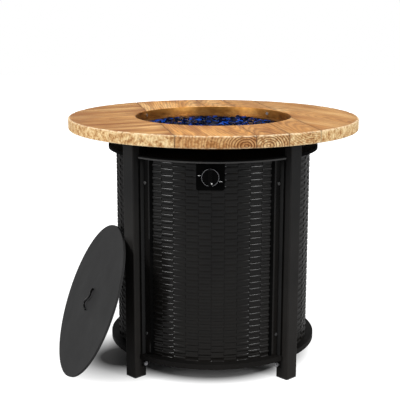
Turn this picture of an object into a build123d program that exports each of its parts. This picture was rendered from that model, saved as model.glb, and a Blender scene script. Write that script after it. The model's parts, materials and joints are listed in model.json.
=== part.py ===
from build123d import *
import math
import os

# A round gas fire pit table. Millimetres, +Z up, the floor at z = 0, the control knob faces -Y.
# Everything is drawn about the table's own axis, and saved with that axis at TABLE_AXIS_X, so that
# the table with its leaning lid is centred on the origin.
# An azimuth is measured from the front (-Y) and grows towards +X, the right.
TABLE_AXIS_X = 18.0

# Tabletop
TABLE_HEIGHT = 653.0
TABLETOP_RADIUS = 381.0
TABLETOP_THICKNESS = 29.5
TABLETOP_EDGE_ROUND = 3.0
HOLE_RADIUS = 206.5
HOLE_EDGE_ROUND = 1.5

# Legs
LEG_WIDTH = 38.0
LEG_WALL = 1.5
LEG_CORNER = 3.5
LEG_AXIS_RADIUS = 274.5
LEG_AZIMUTHS = {"right_front": 45, "right_rear": 135, "left_rear": 225, "left_front": 315}
END_PLATE_WIDTH = 70.0
END_PLATE_THICKNESS = 3.0
END_SCREW_OFFSET = 26.0
FOOT_PAD = 3.0
FOOT_BOLT_GAP = 7.0
FOOT_CLEARANCE = 0.25

# Top and bottom plates with their turned-down rims
PLATE_REACH = 2.5
PLATE_SHEET = 1.5
TOP_PLATE_DROP = 73.0
TOP_RIM_HEIGHT = 8.2
BOTTOM_PLATE_TOP = 62.8
BOTTOM_RIM_HEIGHT = 13.2
NOTCH_CLEARANCE = 0.3
TAB_WIDTH = 18.0
TAB_LENGTH = 36.0
TAB_INSET = 12.0
TAB_BOLT_INSET = 8.0
VENT_HOLE_RADIUS = 12.0
VENT_CIRCLE_RADIUS = 180.0
VENT_COUNT = 8

# Side panels and door, each a quarter of the drum
WEAVE_SETBACK = 6.7
PANEL_SHEET = 1.2
WEAVE_HALF_ANGLE = 36.0
FLANGE_INSET = 13.0
LIP_GAP = 5.0
PANEL_GAP = 0.2
SIDE_AZIMUTHS = {"front_panel": 0, "right_panel": 90, "left_panel": 270}
PANEL_SCREW_AZIMUTH = 38.6
PANEL_SCREW_RISE = 56.2
PANEL_SCREW_DROP = 69.4
CLEAT_SHEET = 2.0
CLEAT_HEIGHT = 26.0
CLEAT_DEPTH = 20.0
CLEAT_INNER_AZIMUTH = 37.0
CLEAT_CLEARANCE = 0.3

# Rear door
DOOR_AZIMUTH = 180.0
DOOR_BOTTOM_GAP = 1.5
DOOR_TOP_GAP = 9.7
PIVOT_OUTSET = 6.0
PIVOT_OFFSET = 30.0
PIVOT_PIN_RADIUS = 3.0
PIVOT_FIT = 0.05
PIVOT_COLLAR_RADIUS = 5.0
PIVOT_SEAT_GAP = 0.3
EAR_WIDTH = 10.0
EAR_HEIGHT = 14.0
PIN_ENGAGEMENT = 10.0
DOOR_KNOB_RADIUS = 11.0
DOOR_KNOB_LENGTH = 20.0
DOOR_KNOB_AZIMUTH = 37.5
MAGNET_WIDTH = 10.0
MAGNET_DEPTH = 12.0
MAGNET_HEIGHT = 40.0
MAGNET_GAP = 0.4
MAGNET_DROP = 60.0

# Fire bowl, which lines the hole of the tabletop
BOWL_SHEET = 1.2
BOWL_GAP = 0.3
BOWL_TOP_INSET = 1.5
LEDGE_DEPTH = 23.0
PAN_RADIUS = 184.0
PAN_FLOOR_DROP = 61.8
BOWL_SCREW_AZIMUTHS = (8, 133, 244)
BOWL_SCREW_DEPTH = 12.0
GLASS_DROP = 25.0
GLASS_GAP = 0.3

# Burner
BURNER_RADIUS = 100.0
BURNER_TUBE_RADIUS = 9.5
BURNER_WALL = 1.2
BURNER_RISE = 14.8
BURNER_SPOKE_RADIUS = 7.0
BURNER_HUB_RADIUS = 16.0
FLAME_HOLE_RADIUS = 1.2
FLAME_HOLE_COUNT = 24
STANDOFF_RADIUS = 4.0
INLET_PIPE_RADIUS = 8.0
INLET_PIPE_BORE = 5.0
INLET_PIPE_DROP = 25.2
SHOULDER_RADIUS = 14.0
LOCK_NUT_ACROSS = 28.0
LOCK_NUT_HEIGHT = 8.0
MIXER_RADIUS = 12.0
MIXER_HEIGHT = 28.0
MIXER_WINDOW = 10.0
FLOOR_HOLE_CLEARANCE = 0.3
CHANNEL_CLEARANCE = 1.5

# Igniter and thermocouple, beside the front of the burner ring
PROBE_OUTSET = 20.0
ELECTRODE_X = -3.0
THERMOCOUPLE_X = 8.0
INSULATOR_RADIUS = 4.0
INSULATOR_DROP = 6.2
INSULATOR_RISE = 18.8
ROD_RADIUS = 1.2
ROD_RISE = 29.8
THERMOCOUPLE_RADIUS = 3.0
PROBE_CLEARANCE = 0.2
PROBE_BRACKET_SHEET = 2.0
WIRE_RADIUS = 1.6
WIRE_BEND = 12.0

# Gas control on the front
CONTROL_X = -3.0
CONTROL_DROP = 42.5
CONTROL_PLATE_WIDTH = 69.0
CONTROL_PLATE_STANDOFF = 3.7
CONTROL_PLATE_CORNER = 6.0
CONTROL_PLATE_DEPTH = 12.0
VALVE_WIDTH = 28.0
VALVE_SETBACK = 6.0
VALVE_LENGTH = 41.0
VALVE_CAP_THICKNESS = 3.0
VALVE_PORT_SETBACK = 27.0
PLUG_RADIUS = 8.0
PLUG_FIT = 0.05
PLUG_SETBACK = 9.0
PLUG_LENGTH = 30.0
PLUG_PORT_RADIUS = 3.0
NECK_RADIUS = 9.0
NECK_REACH = 3.5
NECK_CLEARANCE = 0.3
NECK_NUT_ACROSS = 24.0
STEM_RADIUS = 3.0
STEM_FIT = 0.05
STEM_FLAT = 2.2
STEM_ENGAGEMENT = 18.0
KNOB_RADIUS = 20.5
KNOB_STANDOFF = 4.6
KNOB_DISC_DEPTH = 11.0
KNOB_RECESS_RADIUS = 15.5
KNOB_RECESS_DEPTH = 6.0
GRIP_WIDTH = 9.0
GRIP_DEPTH = 9.0
KNOB_EDGE_ROUND = 1.2
TRIM_RING_WALL = 1.0
TRIM_RING_LENGTH = 4.0
PIEZO_RADIUS = 7.0
PIEZO_SETBACK = 5.0
PIEZO_LENGTH = 45.0
FITTING_RADIUS = 9.5
OUTLET_LENGTH = 12.0
INLET_HEX_LENGTH = 10.0
INLET_THREAD_RADIUS = 7.94
INLET_THREAD_LENGTH = 14.0
INLET_BORE_RADIUS = 4.0
TUBE_RADIUS = 4.5
TUBE_BORE = 3.3
TUBE_RUN_DROP = 55.5
TUBE_BEND = 24.0

# Bottle ring on the bottom plate
BOTTLE_RING_RADIUS = 106.0
BOTTLE_RING_WALL = 2.0
BOTTLE_RING_HEIGHT = 20.0

# Lid, leaning on the left front leg
LID_RADIUS = 203.0
LID_SHEET = 1.5
LID_RIM = 6.0
LID_TILT = 22.12
LID_HEADING = 69.59
LID_FROM_LEG_X = -122.6
LID_FROM_LEG_Y = 39.1
LID_HANDLE_LENGTH = 56.0
LID_HANDLE_ROD = 3.0
LID_HANDLE_HEIGHT = 8.0
LID_HANDLE_WAVE = 9.0
LID_HANDLE_FOOT = 3.5

# Fasteners
BOLT_RADIUS = 3.0
BOLT_CLEARANCE = 0.2
BOLT_HEAD_ACROSS = 10.0
BOLT_HEAD_HEIGHT = 4.0
NUT_HEIGHT = 5.0
BOLT_OVERHANG = 8.0
SCREW_RADIUS = 2.0
SCREW_CLEARANCE = 0.2
SCREW_HEAD_RADIUS = 4.2
SCREW_HEAD_HEIGHT = 2.4
SCREW_LENGTH = 12.0
PILOT_CLEARANCE = 0.05

# Radii that follow from the sizes above
LEG_INNER_RADIUS = LEG_AXIS_RADIUS - LEG_WIDTH / 2
PLATE_RADIUS = LEG_AXIS_RADIUS + PLATE_REACH
RIM_INNER_RADIUS = PLATE_RADIUS - PLATE_SHEET
LIP_RADIUS = RIM_INNER_RADIUS - CLEAT_CLEARANCE
FLANGE_RADIUS = PLATE_RADIUS - FLANGE_INSET
PANEL_RADIUS = FLANGE_RADIUS - WEAVE_SETBACK
TAB_RADIUS = LEG_AXIS_RADIUS - TAB_INSET
TAB_OUTER = LEG_WIDTH / 2 + NOTCH_CLEARANCE + PLATE_SHEET
PIVOT_RADIAL = FLANGE_RADIUS + PIVOT_OUTSET
BOWL_RADIUS = HOLE_RADIUS - BOWL_GAP
LEG_FACE_ANGLE = 45.0
FRONT_ANGLE = 90.0

# Heights that follow from the sizes above
TABLETOP_BOTTOM = TABLE_HEIGHT - TABLETOP_THICKNESS
END_PLATE_BOTTOM = TABLETOP_BOTTOM - END_PLATE_THICKNESS
TOP_PLATE_TOP = TABLE_HEIGHT - TOP_PLATE_DROP
TOP_PLATE_BOTTOM = TOP_PLATE_TOP - PLATE_SHEET
PANEL_BOTTOM = BOTTOM_PLATE_TOP + PANEL_GAP
PANEL_TOP = TOP_PLATE_BOTTOM - PANEL_GAP
PANEL_SCREW_HEIGHTS = (BOTTOM_PLATE_TOP + PANEL_SCREW_RISE, TOP_PLATE_TOP - PANEL_SCREW_DROP)
DOOR_BOTTOM = BOTTOM_PLATE_TOP + DOOR_BOTTOM_GAP
DOOR_TOP = TOP_PLATE_TOP - DOOR_TOP_GAP
DOOR_KNOB_HEIGHT = (DOOR_BOTTOM + DOOR_TOP) / 2
BOWL_TOP = TABLE_HEIGHT - BOWL_TOP_INSET
LEDGE_TOP = TABLE_HEIGHT - LEDGE_DEPTH
GLASS_TOP = TABLE_HEIGHT - GLASS_DROP
PAN_FLOOR_TOP = TABLE_HEIGHT - PAN_FLOOR_DROP
PAN_FLOOR_BOTTOM = PAN_FLOOR_TOP - BOWL_SHEET
BURNER_HEIGHT = PAN_FLOOR_TOP + BURNER_RISE
BURNER_BOTTOM = BURNER_HEIGHT - BURNER_TUBE_RADIUS
INLET_PIPE_BOTTOM = PAN_FLOOR_TOP - INLET_PIPE_DROP
MIXER_BOTTOM = INLET_PIPE_BOTTOM - MIXER_HEIGHT
INSULATOR_BOTTOM = PAN_FLOOR_TOP - INSULATOR_DROP
INSULATOR_TOP = PAN_FLOOR_TOP + INSULATOR_RISE
ROD_TOP = PAN_FLOOR_TOP + ROD_RISE
PROBE_Y = -BURNER_RADIUS - PROBE_OUTSET
CONTROL_Z = TOP_PLATE_TOP - CONTROL_DROP
VALVE_TOP = CONTROL_Z + VALVE_WIDTH / 2
VALVE_BOTTOM = CONTROL_Z - VALVE_WIDTH / 2
PIEZO_Z = VALVE_TOP + PIEZO_RADIUS + PILOT_CLEARANCE
TUBE_RUN_Z = CONTROL_Z - TUBE_RUN_DROP

# Places along Y of the control, from the front panel backwards and forwards
CONTROL_PLATE_FRONT = -PANEL_RADIUS - CONTROL_PLATE_STANDOFF
VALVE_FRONT = CONTROL_PLATE_FRONT + VALVE_SETBACK
VALVE_REAR = VALVE_FRONT + VALVE_LENGTH
VALVE_PORT_Y = VALVE_FRONT + VALVE_PORT_SETBACK
NECK_FRONT = CONTROL_PLATE_FRONT - NECK_REACH
PLUG_FRONT = VALVE_FRONT + PLUG_SETBACK
PLUG_REAR = PLUG_FRONT + PLUG_LENGTH
STEM_REAR = PLUG_FRONT + STEM_ENGAGEMENT
KNOB_REAR = CONTROL_PLATE_FRONT - KNOB_STANDOFF
KNOB_FACE = KNOB_REAR - KNOB_DISC_DEPTH
PIEZO_FRONT = VALVE_FRONT + PIEZO_SETBACK
PIEZO_REAR = PIEZO_FRONT + PIEZO_LENGTH


def turned(azimuth):
    """Local +X points outwards at this azimuth, and local +Z stays up."""
    return Rot(0, 0, azimuth - 90)


def disc(radius, low, high):
    """A cylinder on the table's axis between two heights."""
    return Pos(0, 0, (low + high) / 2) * Cylinder(radius, high - low)


def ring(inner, outer, low, high):
    """A ring on the table's axis between two heights."""
    return disc(outer, low, high) - disc(inner, low - 1, high + 1)


def block(x, y, z):
    """A box between two corners given as ranges."""
    size = Box(x[1] - x[0], y[1] - y[0], z[1] - z[0])
    return Pos((x[0] + x[1]) / 2, (y[0] + y[1]) / 2, (z[0] + z[1]) / 2) * size


def rod_y(radius, x, z, y_from, y_to):
    """A cylinder along Y."""
    return Pos(x, (y_from + y_to) / 2, z) * Rot(90, 0, 0) * Cylinder(radius, abs(y_to - y_from))


def rod_x(radius, y, z, x_from, x_to):
    """A cylinder along X."""
    return Pos((x_from + x_to) / 2, y, z) * Rot(0, 90, 0) * Cylinder(radius, abs(x_to - x_from))


def hexagon(across, height):
    """A hexagonal prism along Z, centred."""
    face = RegularPolygon(across / 2, 6, major_radius=False)
    return Pos(0, 0, -height / 2) * extrude(face, height)


def sector(inner, outer, start, end, low, high):
    """A ring segment between two azimuths and two heights."""
    outer_arc = CenterArc((0, 0), outer, start - FRONT_ANGLE, end - start)
    inner_arc = CenterArc((0, 0), inner, start - FRONT_ANGLE, end - start)
    sides = Line(outer_arc @ 0, inner_arc @ 0) + Line(outer_arc @ 1, inner_arc @ 1)
    face = make_face(outer_arc + inner_arc + sides)
    return Pos(0, 0, low) * extrude(face, high - low, dir=(0, 0, 1))


def radial_rod(radius, azimuth, height, from_radius, to_radius):
    """A cylinder that points away from the table's axis."""
    return turned(azimuth) * rod_x(radius, 0, height, from_radius, to_radius)


def pan_screw(azimuth, height, seat_radius, length):
    """A round-headed screw driven towards the axis, with its head outside the seat."""
    shank = radial_rod(SCREW_RADIUS, azimuth, height, seat_radius - length, seat_radius)
    head = radial_rod(SCREW_HEAD_RADIUS, azimuth, height, seat_radius, seat_radius + SCREW_HEAD_HEIGHT)
    crown = head.edges().filter_by(GeomType.CIRCLE).sort_by(lambda e: e.center().length)[-1]
    return shank + fillet(crown, SCREW_HEAD_HEIGHT * 0.45)


def swept(path, radius, bore=0.0):
    """A round wire or tube along a path."""
    outer = sweep(Plane(path @ 0, z_dir=path % 0) * Circle(radius), path)
    if bore:
        outer -= sweep(Plane(path @ 0, z_dir=path % 0) * Circle(bore), path)
    return outer


# The tabletop and the screws that hold it

def end_screw_places():
    """The screw places of all leg end plates, as (azimuth, radial, tangential)."""
    places = []
    for azimuth in LEG_AZIMUTHS.values():
        for radial in (-END_SCREW_OFFSET, END_SCREW_OFFSET):
            for side in (-END_SCREW_OFFSET, END_SCREW_OFFSET):
                places.append((azimuth, LEG_AXIS_RADIUS + radial, side))
    return places


def make_tabletop():
    top = ring(HOLE_RADIUS, TABLETOP_RADIUS, TABLETOP_BOTTOM, TABLE_HEIGHT)
    rim_edges = top.edges().filter_by(GeomType.CIRCLE).filter_by(lambda e: e.radius > HOLE_RADIUS + 1)
    top = fillet(rim_edges, TABLETOP_EDGE_ROUND)
    hole_edges = top.edges().filter_by(GeomType.CIRCLE).filter_by(lambda e: e.radius < HOLE_RADIUS + 1)
    top = fillet(hole_edges, HOLE_EDGE_ROUND)
    pilot = disc(SCREW_RADIUS + PILOT_CLEARANCE, TABLETOP_BOTTOM - 1, TABLETOP_BOTTOM + SCREW_LENGTH)
    for azimuth, radial, side in end_screw_places():
        top -= turned(azimuth) * Pos(radial, side, 0) * pilot
    for azimuth in BOWL_SCREW_AZIMUTHS:
        top -= radial_rod(SCREW_RADIUS + PILOT_CLEARANCE, azimuth, TABLE_HEIGHT - BOWL_SCREW_DEPTH,
                          HOLE_RADIUS - 1, BOWL_RADIUS + SCREW_LENGTH)
    return top


def make_tabletop_screws():
    shank = disc(SCREW_RADIUS, END_PLATE_BOTTOM, TABLETOP_BOTTOM + SCREW_LENGTH - 1)
    head = disc(SCREW_HEAD_RADIUS, END_PLATE_BOTTOM - SCREW_HEAD_HEIGHT, END_PLATE_BOTTOM)
    screw = shank + head
    return [turned(azimuth) * Pos(radial, side, 0) * screw for azimuth, radial, side in end_screw_places()]


# Legs, their end plates, feet and the bolts through them

def bolt_heights():
    """Where the plates' tabs are bolted to the legs."""
    low = BOTTOM_PLATE_TOP - TAB_LENGTH + TAB_BOLT_INSET
    high = TOP_PLATE_TOP + TAB_LENGTH - TAB_BOLT_INSET
    return (low, high)


def tube_section(width, corner, low, high):
    face = RectangleRounded(width, width, corner)
    return Pos(0, 0, low) * extrude(face, high - low)


def make_leg(azimuth):
    outer = tube_section(LEG_WIDTH, LEG_CORNER, FOOT_PAD, END_PLATE_BOTTOM)
    inner_width = LEG_WIDTH - 2 * LEG_WALL
    inner = tube_section(inner_width, LEG_CORNER - LEG_WALL, FOOT_PAD - 1, END_PLATE_BOTTOM + 1)
    tube = Pos(LEG_AXIS_RADIUS, 0, 0) * (outer - inner)
    for height in bolt_heights():
        tube -= rod_y(BOLT_RADIUS + BOLT_CLEARANCE, TAB_RADIUS, height, -LEG_WIDTH, LEG_WIDTH)
    return turned(azimuth) * tube


def make_end_plates():
    low = END_PLATE_BOTTOM
    plate = extrude(RectangleRounded(END_PLATE_WIDTH, END_PLATE_WIDTH, LEG_CORNER), END_PLATE_THICKNESS)
    plate = Pos(LEG_AXIS_RADIUS, 0, low) * plate
    hole = disc(SCREW_RADIUS + SCREW_CLEARANCE, low - 1, TABLETOP_BOTTOM + 1)
    for radial in (-END_SCREW_OFFSET, END_SCREW_OFFSET):
        for side in (-END_SCREW_OFFSET, END_SCREW_OFFSET):
            plate -= Pos(LEG_AXIS_RADIUS + radial, side, 0) * hole
    return [turned(azimuth) * plate for azimuth in LEG_AZIMUTHS.values()]


def make_foot_plugs():
    inner_width = LEG_WIDTH - 2 * LEG_WALL - 2 * FOOT_CLEARANCE
    pad = tube_section(LEG_WIDTH, LEG_CORNER, 0, FOOT_PAD)
    stem_top = bolt_heights()[0] - BOLT_RADIUS - FOOT_BOLT_GAP
    stem = tube_section(inner_width, LEG_CORNER - LEG_WALL, FOOT_PAD, stem_top)
    plug = Pos(LEG_AXIS_RADIUS, 0, 0) * (pad + stem)
    return [turned(azimuth) * plug for azimuth in LEG_AZIMUTHS.values()]


def at_tabs(item):
    """Copies a fastener to the tabs of both plates at every leg, its local +Y on the front or rear side."""
    copies = []
    for azimuth in LEG_AZIMUTHS.values():
        facing = 180 if azimuth in (45, 225) else 0
        for height in bolt_heights():
            copies.append(turned(azimuth) * Pos(TAB_RADIUS, 0, height) * Rot(0, 0, facing) * item)
    return copies


def make_plate_bolts():
    shank = rod_y(BOLT_RADIUS, 0, 0, -TAB_OUTER, TAB_OUTER + BOLT_OVERHANG)
    head = Rot(90, 0, 0) * hexagon(BOLT_HEAD_ACROSS, BOLT_HEAD_HEIGHT)
    return at_tabs(shank + Pos(0, -TAB_OUTER - BOLT_HEAD_HEIGHT / 2, 0) * head)


def make_plate_nuts():
    nut = hexagon(BOLT_HEAD_ACROSS, NUT_HEIGHT) - Cylinder(BOLT_RADIUS + PILOT_CLEARANCE, NUT_HEIGHT * 2)
    return at_tabs(Pos(0, TAB_OUTER + NUT_HEIGHT / 2, 0) * Rot(90, 0, 0) * nut)


# Top and bottom plates

def notched_plate(top, rim_height, tab_direction, bolt_height):
    """A round sheet with a turned-down rim, notched for the legs, with two tabs at each leg."""
    low = top - PLATE_SHEET
    plate = disc(PLATE_RADIUS, low, top) + ring(RIM_INNER_RADIUS, PLATE_RADIUS, top - rim_height, top)
    half = LEG_WIDTH / 2 + NOTCH_CLEARANCE
    inner = LEG_INNER_RADIUS - NOTCH_CLEARANCE
    notch = block((inner, PLATE_RADIUS + 1), (-half, half), (top - rim_height - 1, top + 1))
    tab_x = (TAB_RADIUS - TAB_WIDTH / 2, TAB_RADIUS + TAB_WIDTH / 2)
    tab_z = (top - TAB_LENGTH, top) if tab_direction < 0 else (low, top + TAB_LENGTH)
    for azimuth in LEG_AZIMUTHS.values():
        plate -= turned(azimuth) * notch
        for side in (-1, 1):
            tab = block(tab_x, sorted((side * half, side * TAB_OUTER)), tab_z)
            plate += turned(azimuth) * tab
    bolt_hole = rod_y(BOLT_RADIUS + BOLT_CLEARANCE, TAB_RADIUS, bolt_height, -LEG_WIDTH, LEG_WIDTH)
    for azimuth in LEG_AZIMUTHS.values():
        plate -= turned(azimuth) * bolt_hole
    return plate


def pivot_place(side_sign, azimuth):
    """The door's pivot axis, in the frame of the leg beside it."""
    return turned(azimuth) * Pos(PIVOT_RADIAL, side_sign * PIVOT_OFFSET, 0)


HINGE_LEG = 135
HINGE_SIDE = 1
PIVOT = pivot_place(HINGE_SIDE, HINGE_LEG)


def make_top_plate():
    plate = notched_plate(TOP_PLATE_TOP, TOP_RIM_HEIGHT, 1, bolt_heights()[1])
    plate -= disc(SHOULDER_RADIUS, TOP_PLATE_BOTTOM - 1, TOP_PLATE_TOP + 1)
    for x in (ELECTRODE_X, THERMOCOUPLE_X):
        plate -= Pos(x, PROBE_Y, 0) * disc(WIRE_RADIUS * 2.5, TOP_PLATE_BOTTOM - 1, TOP_PLATE_TOP + 1)
    return plate - PIVOT * disc(PIVOT_PIN_RADIUS + PIVOT_FIT, TOP_PLATE_BOTTOM - 1, TOP_PLATE_TOP + 1)


def make_bottom_plate():
    plate = notched_plate(BOTTOM_PLATE_TOP, BOTTOM_RIM_HEIGHT, -1, bolt_heights()[0])
    low = BOTTOM_PLATE_TOP - PLATE_SHEET
    vent = Pos(VENT_CIRCLE_RADIUS, 0, 0) * disc(VENT_HOLE_RADIUS, low - 1, BOTTOM_PLATE_TOP + 1)
    for index in range(VENT_COUNT):
        plate -= Rot(0, 0, 360 * (index + 0.5) / VENT_COUNT) * vent
    return plate - PIVOT * disc(PIVOT_PIN_RADIUS + PIVOT_FIT, low - 1, BOTTOM_PLATE_TOP + 1)


def make_bottle_ring():
    top = BOTTOM_PLATE_TOP + BOTTLE_RING_HEIGHT
    return ring(BOTTLE_RING_RADIUS - BOTTLE_RING_WALL, BOTTLE_RING_RADIUS, BOTTOM_PLATE_TOP, top)


# Side panels, cleats, screws and the rear door

def panel_shell(low, high):
    """A quarter of the drum's wall, facing the front, with a flat flange and a lip on both sides."""
    weave_inner = PANEL_RADIUS - PANEL_SHEET
    flange_inner = FLANGE_RADIUS - PANEL_SHEET
    lip_offset = LEG_WIDTH / 2 + LIP_GAP
    lip_angle = LEG_FACE_ANGLE - math.degrees(math.asin((lip_offset + PANEL_SHEET / 2) / FLANGE_RADIUS))
    step_angle = math.degrees(PANEL_SHEET / PANEL_RADIUS)
    shell = sector(weave_inner, PANEL_RADIUS, -WEAVE_HALF_ANGLE, WEAVE_HALF_ANGLE, low, high)
    lip_band = ring(flange_inner, LIP_RADIUS, low, high)
    for sign in (-1, 1):
        start = WEAVE_HALF_ANGLE - step_angle
        step_from, step_to = sorted((sign * start, sign * WEAVE_HALF_ANGLE))
        shell += sector(weave_inner, FLANGE_RADIUS, step_from, step_to, low, high)
        flange_from, flange_to = sorted((sign * start, sign * lip_angle))
        shell += sector(flange_inner, FLANGE_RADIUS, flange_from, flange_to, low, high)
        lip_y = sorted((-sign * lip_offset, -sign * (lip_offset + PANEL_SHEET)))
        lip = block((LEG_INNER_RADIUS, PLATE_RADIUS), lip_y, (low, high))
        shell += (turned(sign * LEG_FACE_ANGLE) * lip) & lip_band
    return shell


def make_fixed_panel(azimuth):
    shell = panel_shell(PANEL_BOTTOM, PANEL_TOP)
    for sign in (-1, 1):
        for height in PANEL_SCREW_HEIGHTS:
            shell -= radial_rod(SCREW_RADIUS + SCREW_CLEARANCE, sign * PANEL_SCREW_AZIMUTH, height,
                                PANEL_RADIUS, PLATE_RADIUS)
    return Rot(0, 0, azimuth) * shell


def make_front_panel():
    panel = make_fixed_panel(0)
    return panel - rod_y(NECK_RADIUS + NECK_CLEARANCE, CONTROL_X, CONTROL_Z, VALVE_REAR, KNOB_FACE)


def make_cleats():
    outer = FLANGE_RADIUS - PANEL_SHEET - CLEAT_CLEARANCE
    half = LEG_WIDTH / 2
    cleats = []
    for azimuth in SIDE_AZIMUTHS.values():
        for sign in (-1, 1):
            for height in PANEL_SCREW_HEIGHTS:
                low = height - CLEAT_HEIGHT / 2
                high = height + CLEAT_HEIGHT / 2
                face_angle = LEG_FACE_ANGLE - math.degrees(math.asin(half / (outer - CLEAT_SHEET)))
                leaf_from, leaf_to = sorted((sign * CLEAT_INNER_AZIMUTH, sign * face_angle))
                leaf = sector(outer - CLEAT_SHEET, outer, leaf_from, leaf_to, low, high)
                foot_y = sorted((-sign * half, -sign * (half + CLEAT_SHEET)))
                foot = block((outer - CLEAT_DEPTH, outer), foot_y, (low, high))
                foot = (turned(sign * LEG_FACE_ANGLE) * foot) & disc(outer, low, high)
                hole = radial_rod(SCREW_RADIUS + PILOT_CLEARANCE, sign * PANEL_SCREW_AZIMUTH, height,
                                  outer - CLEAT_DEPTH, outer + 1)
                cleats.append(Rot(0, 0, azimuth) * (leaf + foot - hole))
    return cleats


def make_panel_screws():
    screws = []
    for azimuth in SIDE_AZIMUTHS.values():
        for sign in (-1, 1):
            for height in PANEL_SCREW_HEIGHTS:
                place = azimuth + sign * PANEL_SCREW_AZIMUTH
                screws.append(pan_screw(place, height, FLANGE_RADIUS, SCREW_LENGTH))
    return screws


def make_rear_door():
    door = Rot(0, 0, DOOR_AZIMUTH) * panel_shell(DOOR_BOTTOM, DOOR_TOP)
    half = EAR_WIDTH / 2
    reach = FLANGE_RADIUS - PANEL_SHEET / 2 - PIVOT_RADIAL
    for low, high in ((DOOR_BOTTOM, DOOR_BOTTOM + EAR_HEIGHT), (DOOR_TOP - EAR_HEIGHT, DOOR_TOP)):
        barrel = disc(half, low, high)
        web = block((reach - 2, 0), (-half + 0.6, half), (low, high))
        door += (PIVOT * (barrel + web)) - disc(FLANGE_RADIUS - PANEL_SHEET / 2, low - 1, high + 1)
    door -= PIVOT * disc(PIVOT_PIN_RADIUS + PIVOT_FIT, DOOR_BOTTOM - 1, DOOR_BOTTOM + EAR_HEIGHT + 1)
    door -= PIVOT * disc(PIVOT_PIN_RADIUS + PIVOT_FIT, DOOR_TOP - EAR_HEIGHT - 1, DOOR_TOP + 1)
    knob_azimuth = DOOR_AZIMUTH + DOOR_KNOB_AZIMUTH
    return door - radial_rod(SCREW_RADIUS + SCREW_CLEARANCE, knob_azimuth, DOOR_KNOB_HEIGHT,
                             FLANGE_RADIUS - 5, FLANGE_RADIUS + 2)


def make_pivot_pins():
    collar_low = BOTTOM_PLATE_TOP
    collar_high = DOOR_BOTTOM - PIVOT_SEAT_GAP
    lower = disc(PIVOT_PIN_RADIUS, BOTTOM_PLATE_TOP - PLATE_SHEET - 2, DOOR_BOTTOM + PIN_ENGAGEMENT)
    lower += disc(PIVOT_COLLAR_RADIUS, collar_low, collar_high)
    upper = disc(PIVOT_PIN_RADIUS, DOOR_TOP - PIN_ENGAGEMENT, TOP_PLATE_TOP + 1)
    upper += disc(PIVOT_COLLAR_RADIUS - 1, TOP_PLATE_TOP, TOP_PLATE_TOP + 2)
    return [PIVOT * lower, PIVOT * upper]


def make_door_knob():
    """A turned knob with a waist, and the stub of its screw inside the door."""
    outer = DOOR_KNOB_RADIUS
    outline = Polyline((0, 0), (outer * 0.6, 0), (outer * 0.45, DOOR_KNOB_LENGTH * 0.4))
    head = Spline(outline @ 1, (outer, DOOR_KNOB_LENGTH * 0.75), (outer * 0.7, DOOR_KNOB_LENGTH))
    close = Polyline(head @ 1, (0, DOOR_KNOB_LENGTH), (0, 0))
    face = make_face(outline + head + close)
    knob = revolve(Plane.XZ * face, axis=Axis.Z)
    knob += Pos(0, 0, -SCREW_HEAD_HEIGHT) * Cylinder(SCREW_RADIUS, 2 * SCREW_HEAD_HEIGHT)
    seat = turned(DOOR_AZIMUTH + DOOR_KNOB_AZIMUTH) * Pos(FLANGE_RADIUS, 0, DOOR_KNOB_HEIGHT)
    return seat * Rot(0, 90, 0) * knob


CATCH_LEG = 225
CATCH_HEIGHT = DOOR_KNOB_HEIGHT - MAGNET_DROP
CATCH_OUTER = FLANGE_RADIUS - PANEL_SHEET - MAGNET_GAP


def make_magnet():
    half = LEG_WIDTH / 2 + CLEAT_SHEET
    height = (CATCH_HEIGHT - MAGNET_HEIGHT / 2, CATCH_HEIGHT + MAGNET_HEIGHT / 2)
    magnet = block((CATCH_OUTER - MAGNET_DEPTH - 3, CATCH_OUTER), (-half - MAGNET_WIDTH, -half), height)
    return (turned(CATCH_LEG) * magnet) & disc(CATCH_OUTER, height[0], height[1])


def make_magnet_bracket():
    half = LEG_WIDTH / 2
    low = CATCH_HEIGHT - MAGNET_HEIGHT / 2 - 4
    high = CATCH_HEIGHT + MAGNET_HEIGHT / 2 + 4
    back = CATCH_OUTER - MAGNET_DEPTH - 3
    plate = block((back - CLEAT_SHEET, CATCH_OUTER - 6), (-half - CLEAT_SHEET, -half), (low, high))
    shelf = block((back - CLEAT_SHEET, back), (-half - CLEAT_SHEET - MAGNET_WIDTH, -half), (low, high))
    return turned(CATCH_LEG) * (plate + shelf)


# Fire bowl, fire glass and burner

def make_fire_bowl():
    inner = BOWL_RADIUS - BOWL_SHEET
    bowl = ring(inner, BOWL_RADIUS, LEDGE_TOP - BOWL_SHEET, BOWL_TOP)
    bowl += ring(PAN_RADIUS - BOWL_SHEET, BOWL_RADIUS, LEDGE_TOP - BOWL_SHEET, LEDGE_TOP)
    bowl += ring(PAN_RADIUS - BOWL_SHEET, PAN_RADIUS, PAN_FLOOR_BOTTOM, LEDGE_TOP)
    bowl += disc(PAN_RADIUS, PAN_FLOOR_BOTTOM, PAN_FLOOR_TOP)
    bowl -= disc(INLET_PIPE_RADIUS + FLOOR_HOLE_CLEARANCE, PAN_FLOOR_BOTTOM - 1, PAN_FLOOR_TOP + 1)
    for x, radius in ((ELECTRODE_X, INSULATOR_RADIUS), (THERMOCOUPLE_X, THERMOCOUPLE_RADIUS)):
        hole = disc(radius + FLOOR_HOLE_CLEARANCE, PAN_FLOOR_BOTTOM - 1, PAN_FLOOR_TOP + 1)
        bowl -= Pos(x, PROBE_Y, 0) * hole
    for azimuth in BOWL_SCREW_AZIMUTHS:
        bowl -= radial_rod(SCREW_RADIUS + SCREW_CLEARANCE, azimuth, TABLE_HEIGHT - BOWL_SCREW_DEPTH,
                           inner - 2, BOWL_RADIUS + 2)
    return bowl


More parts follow.
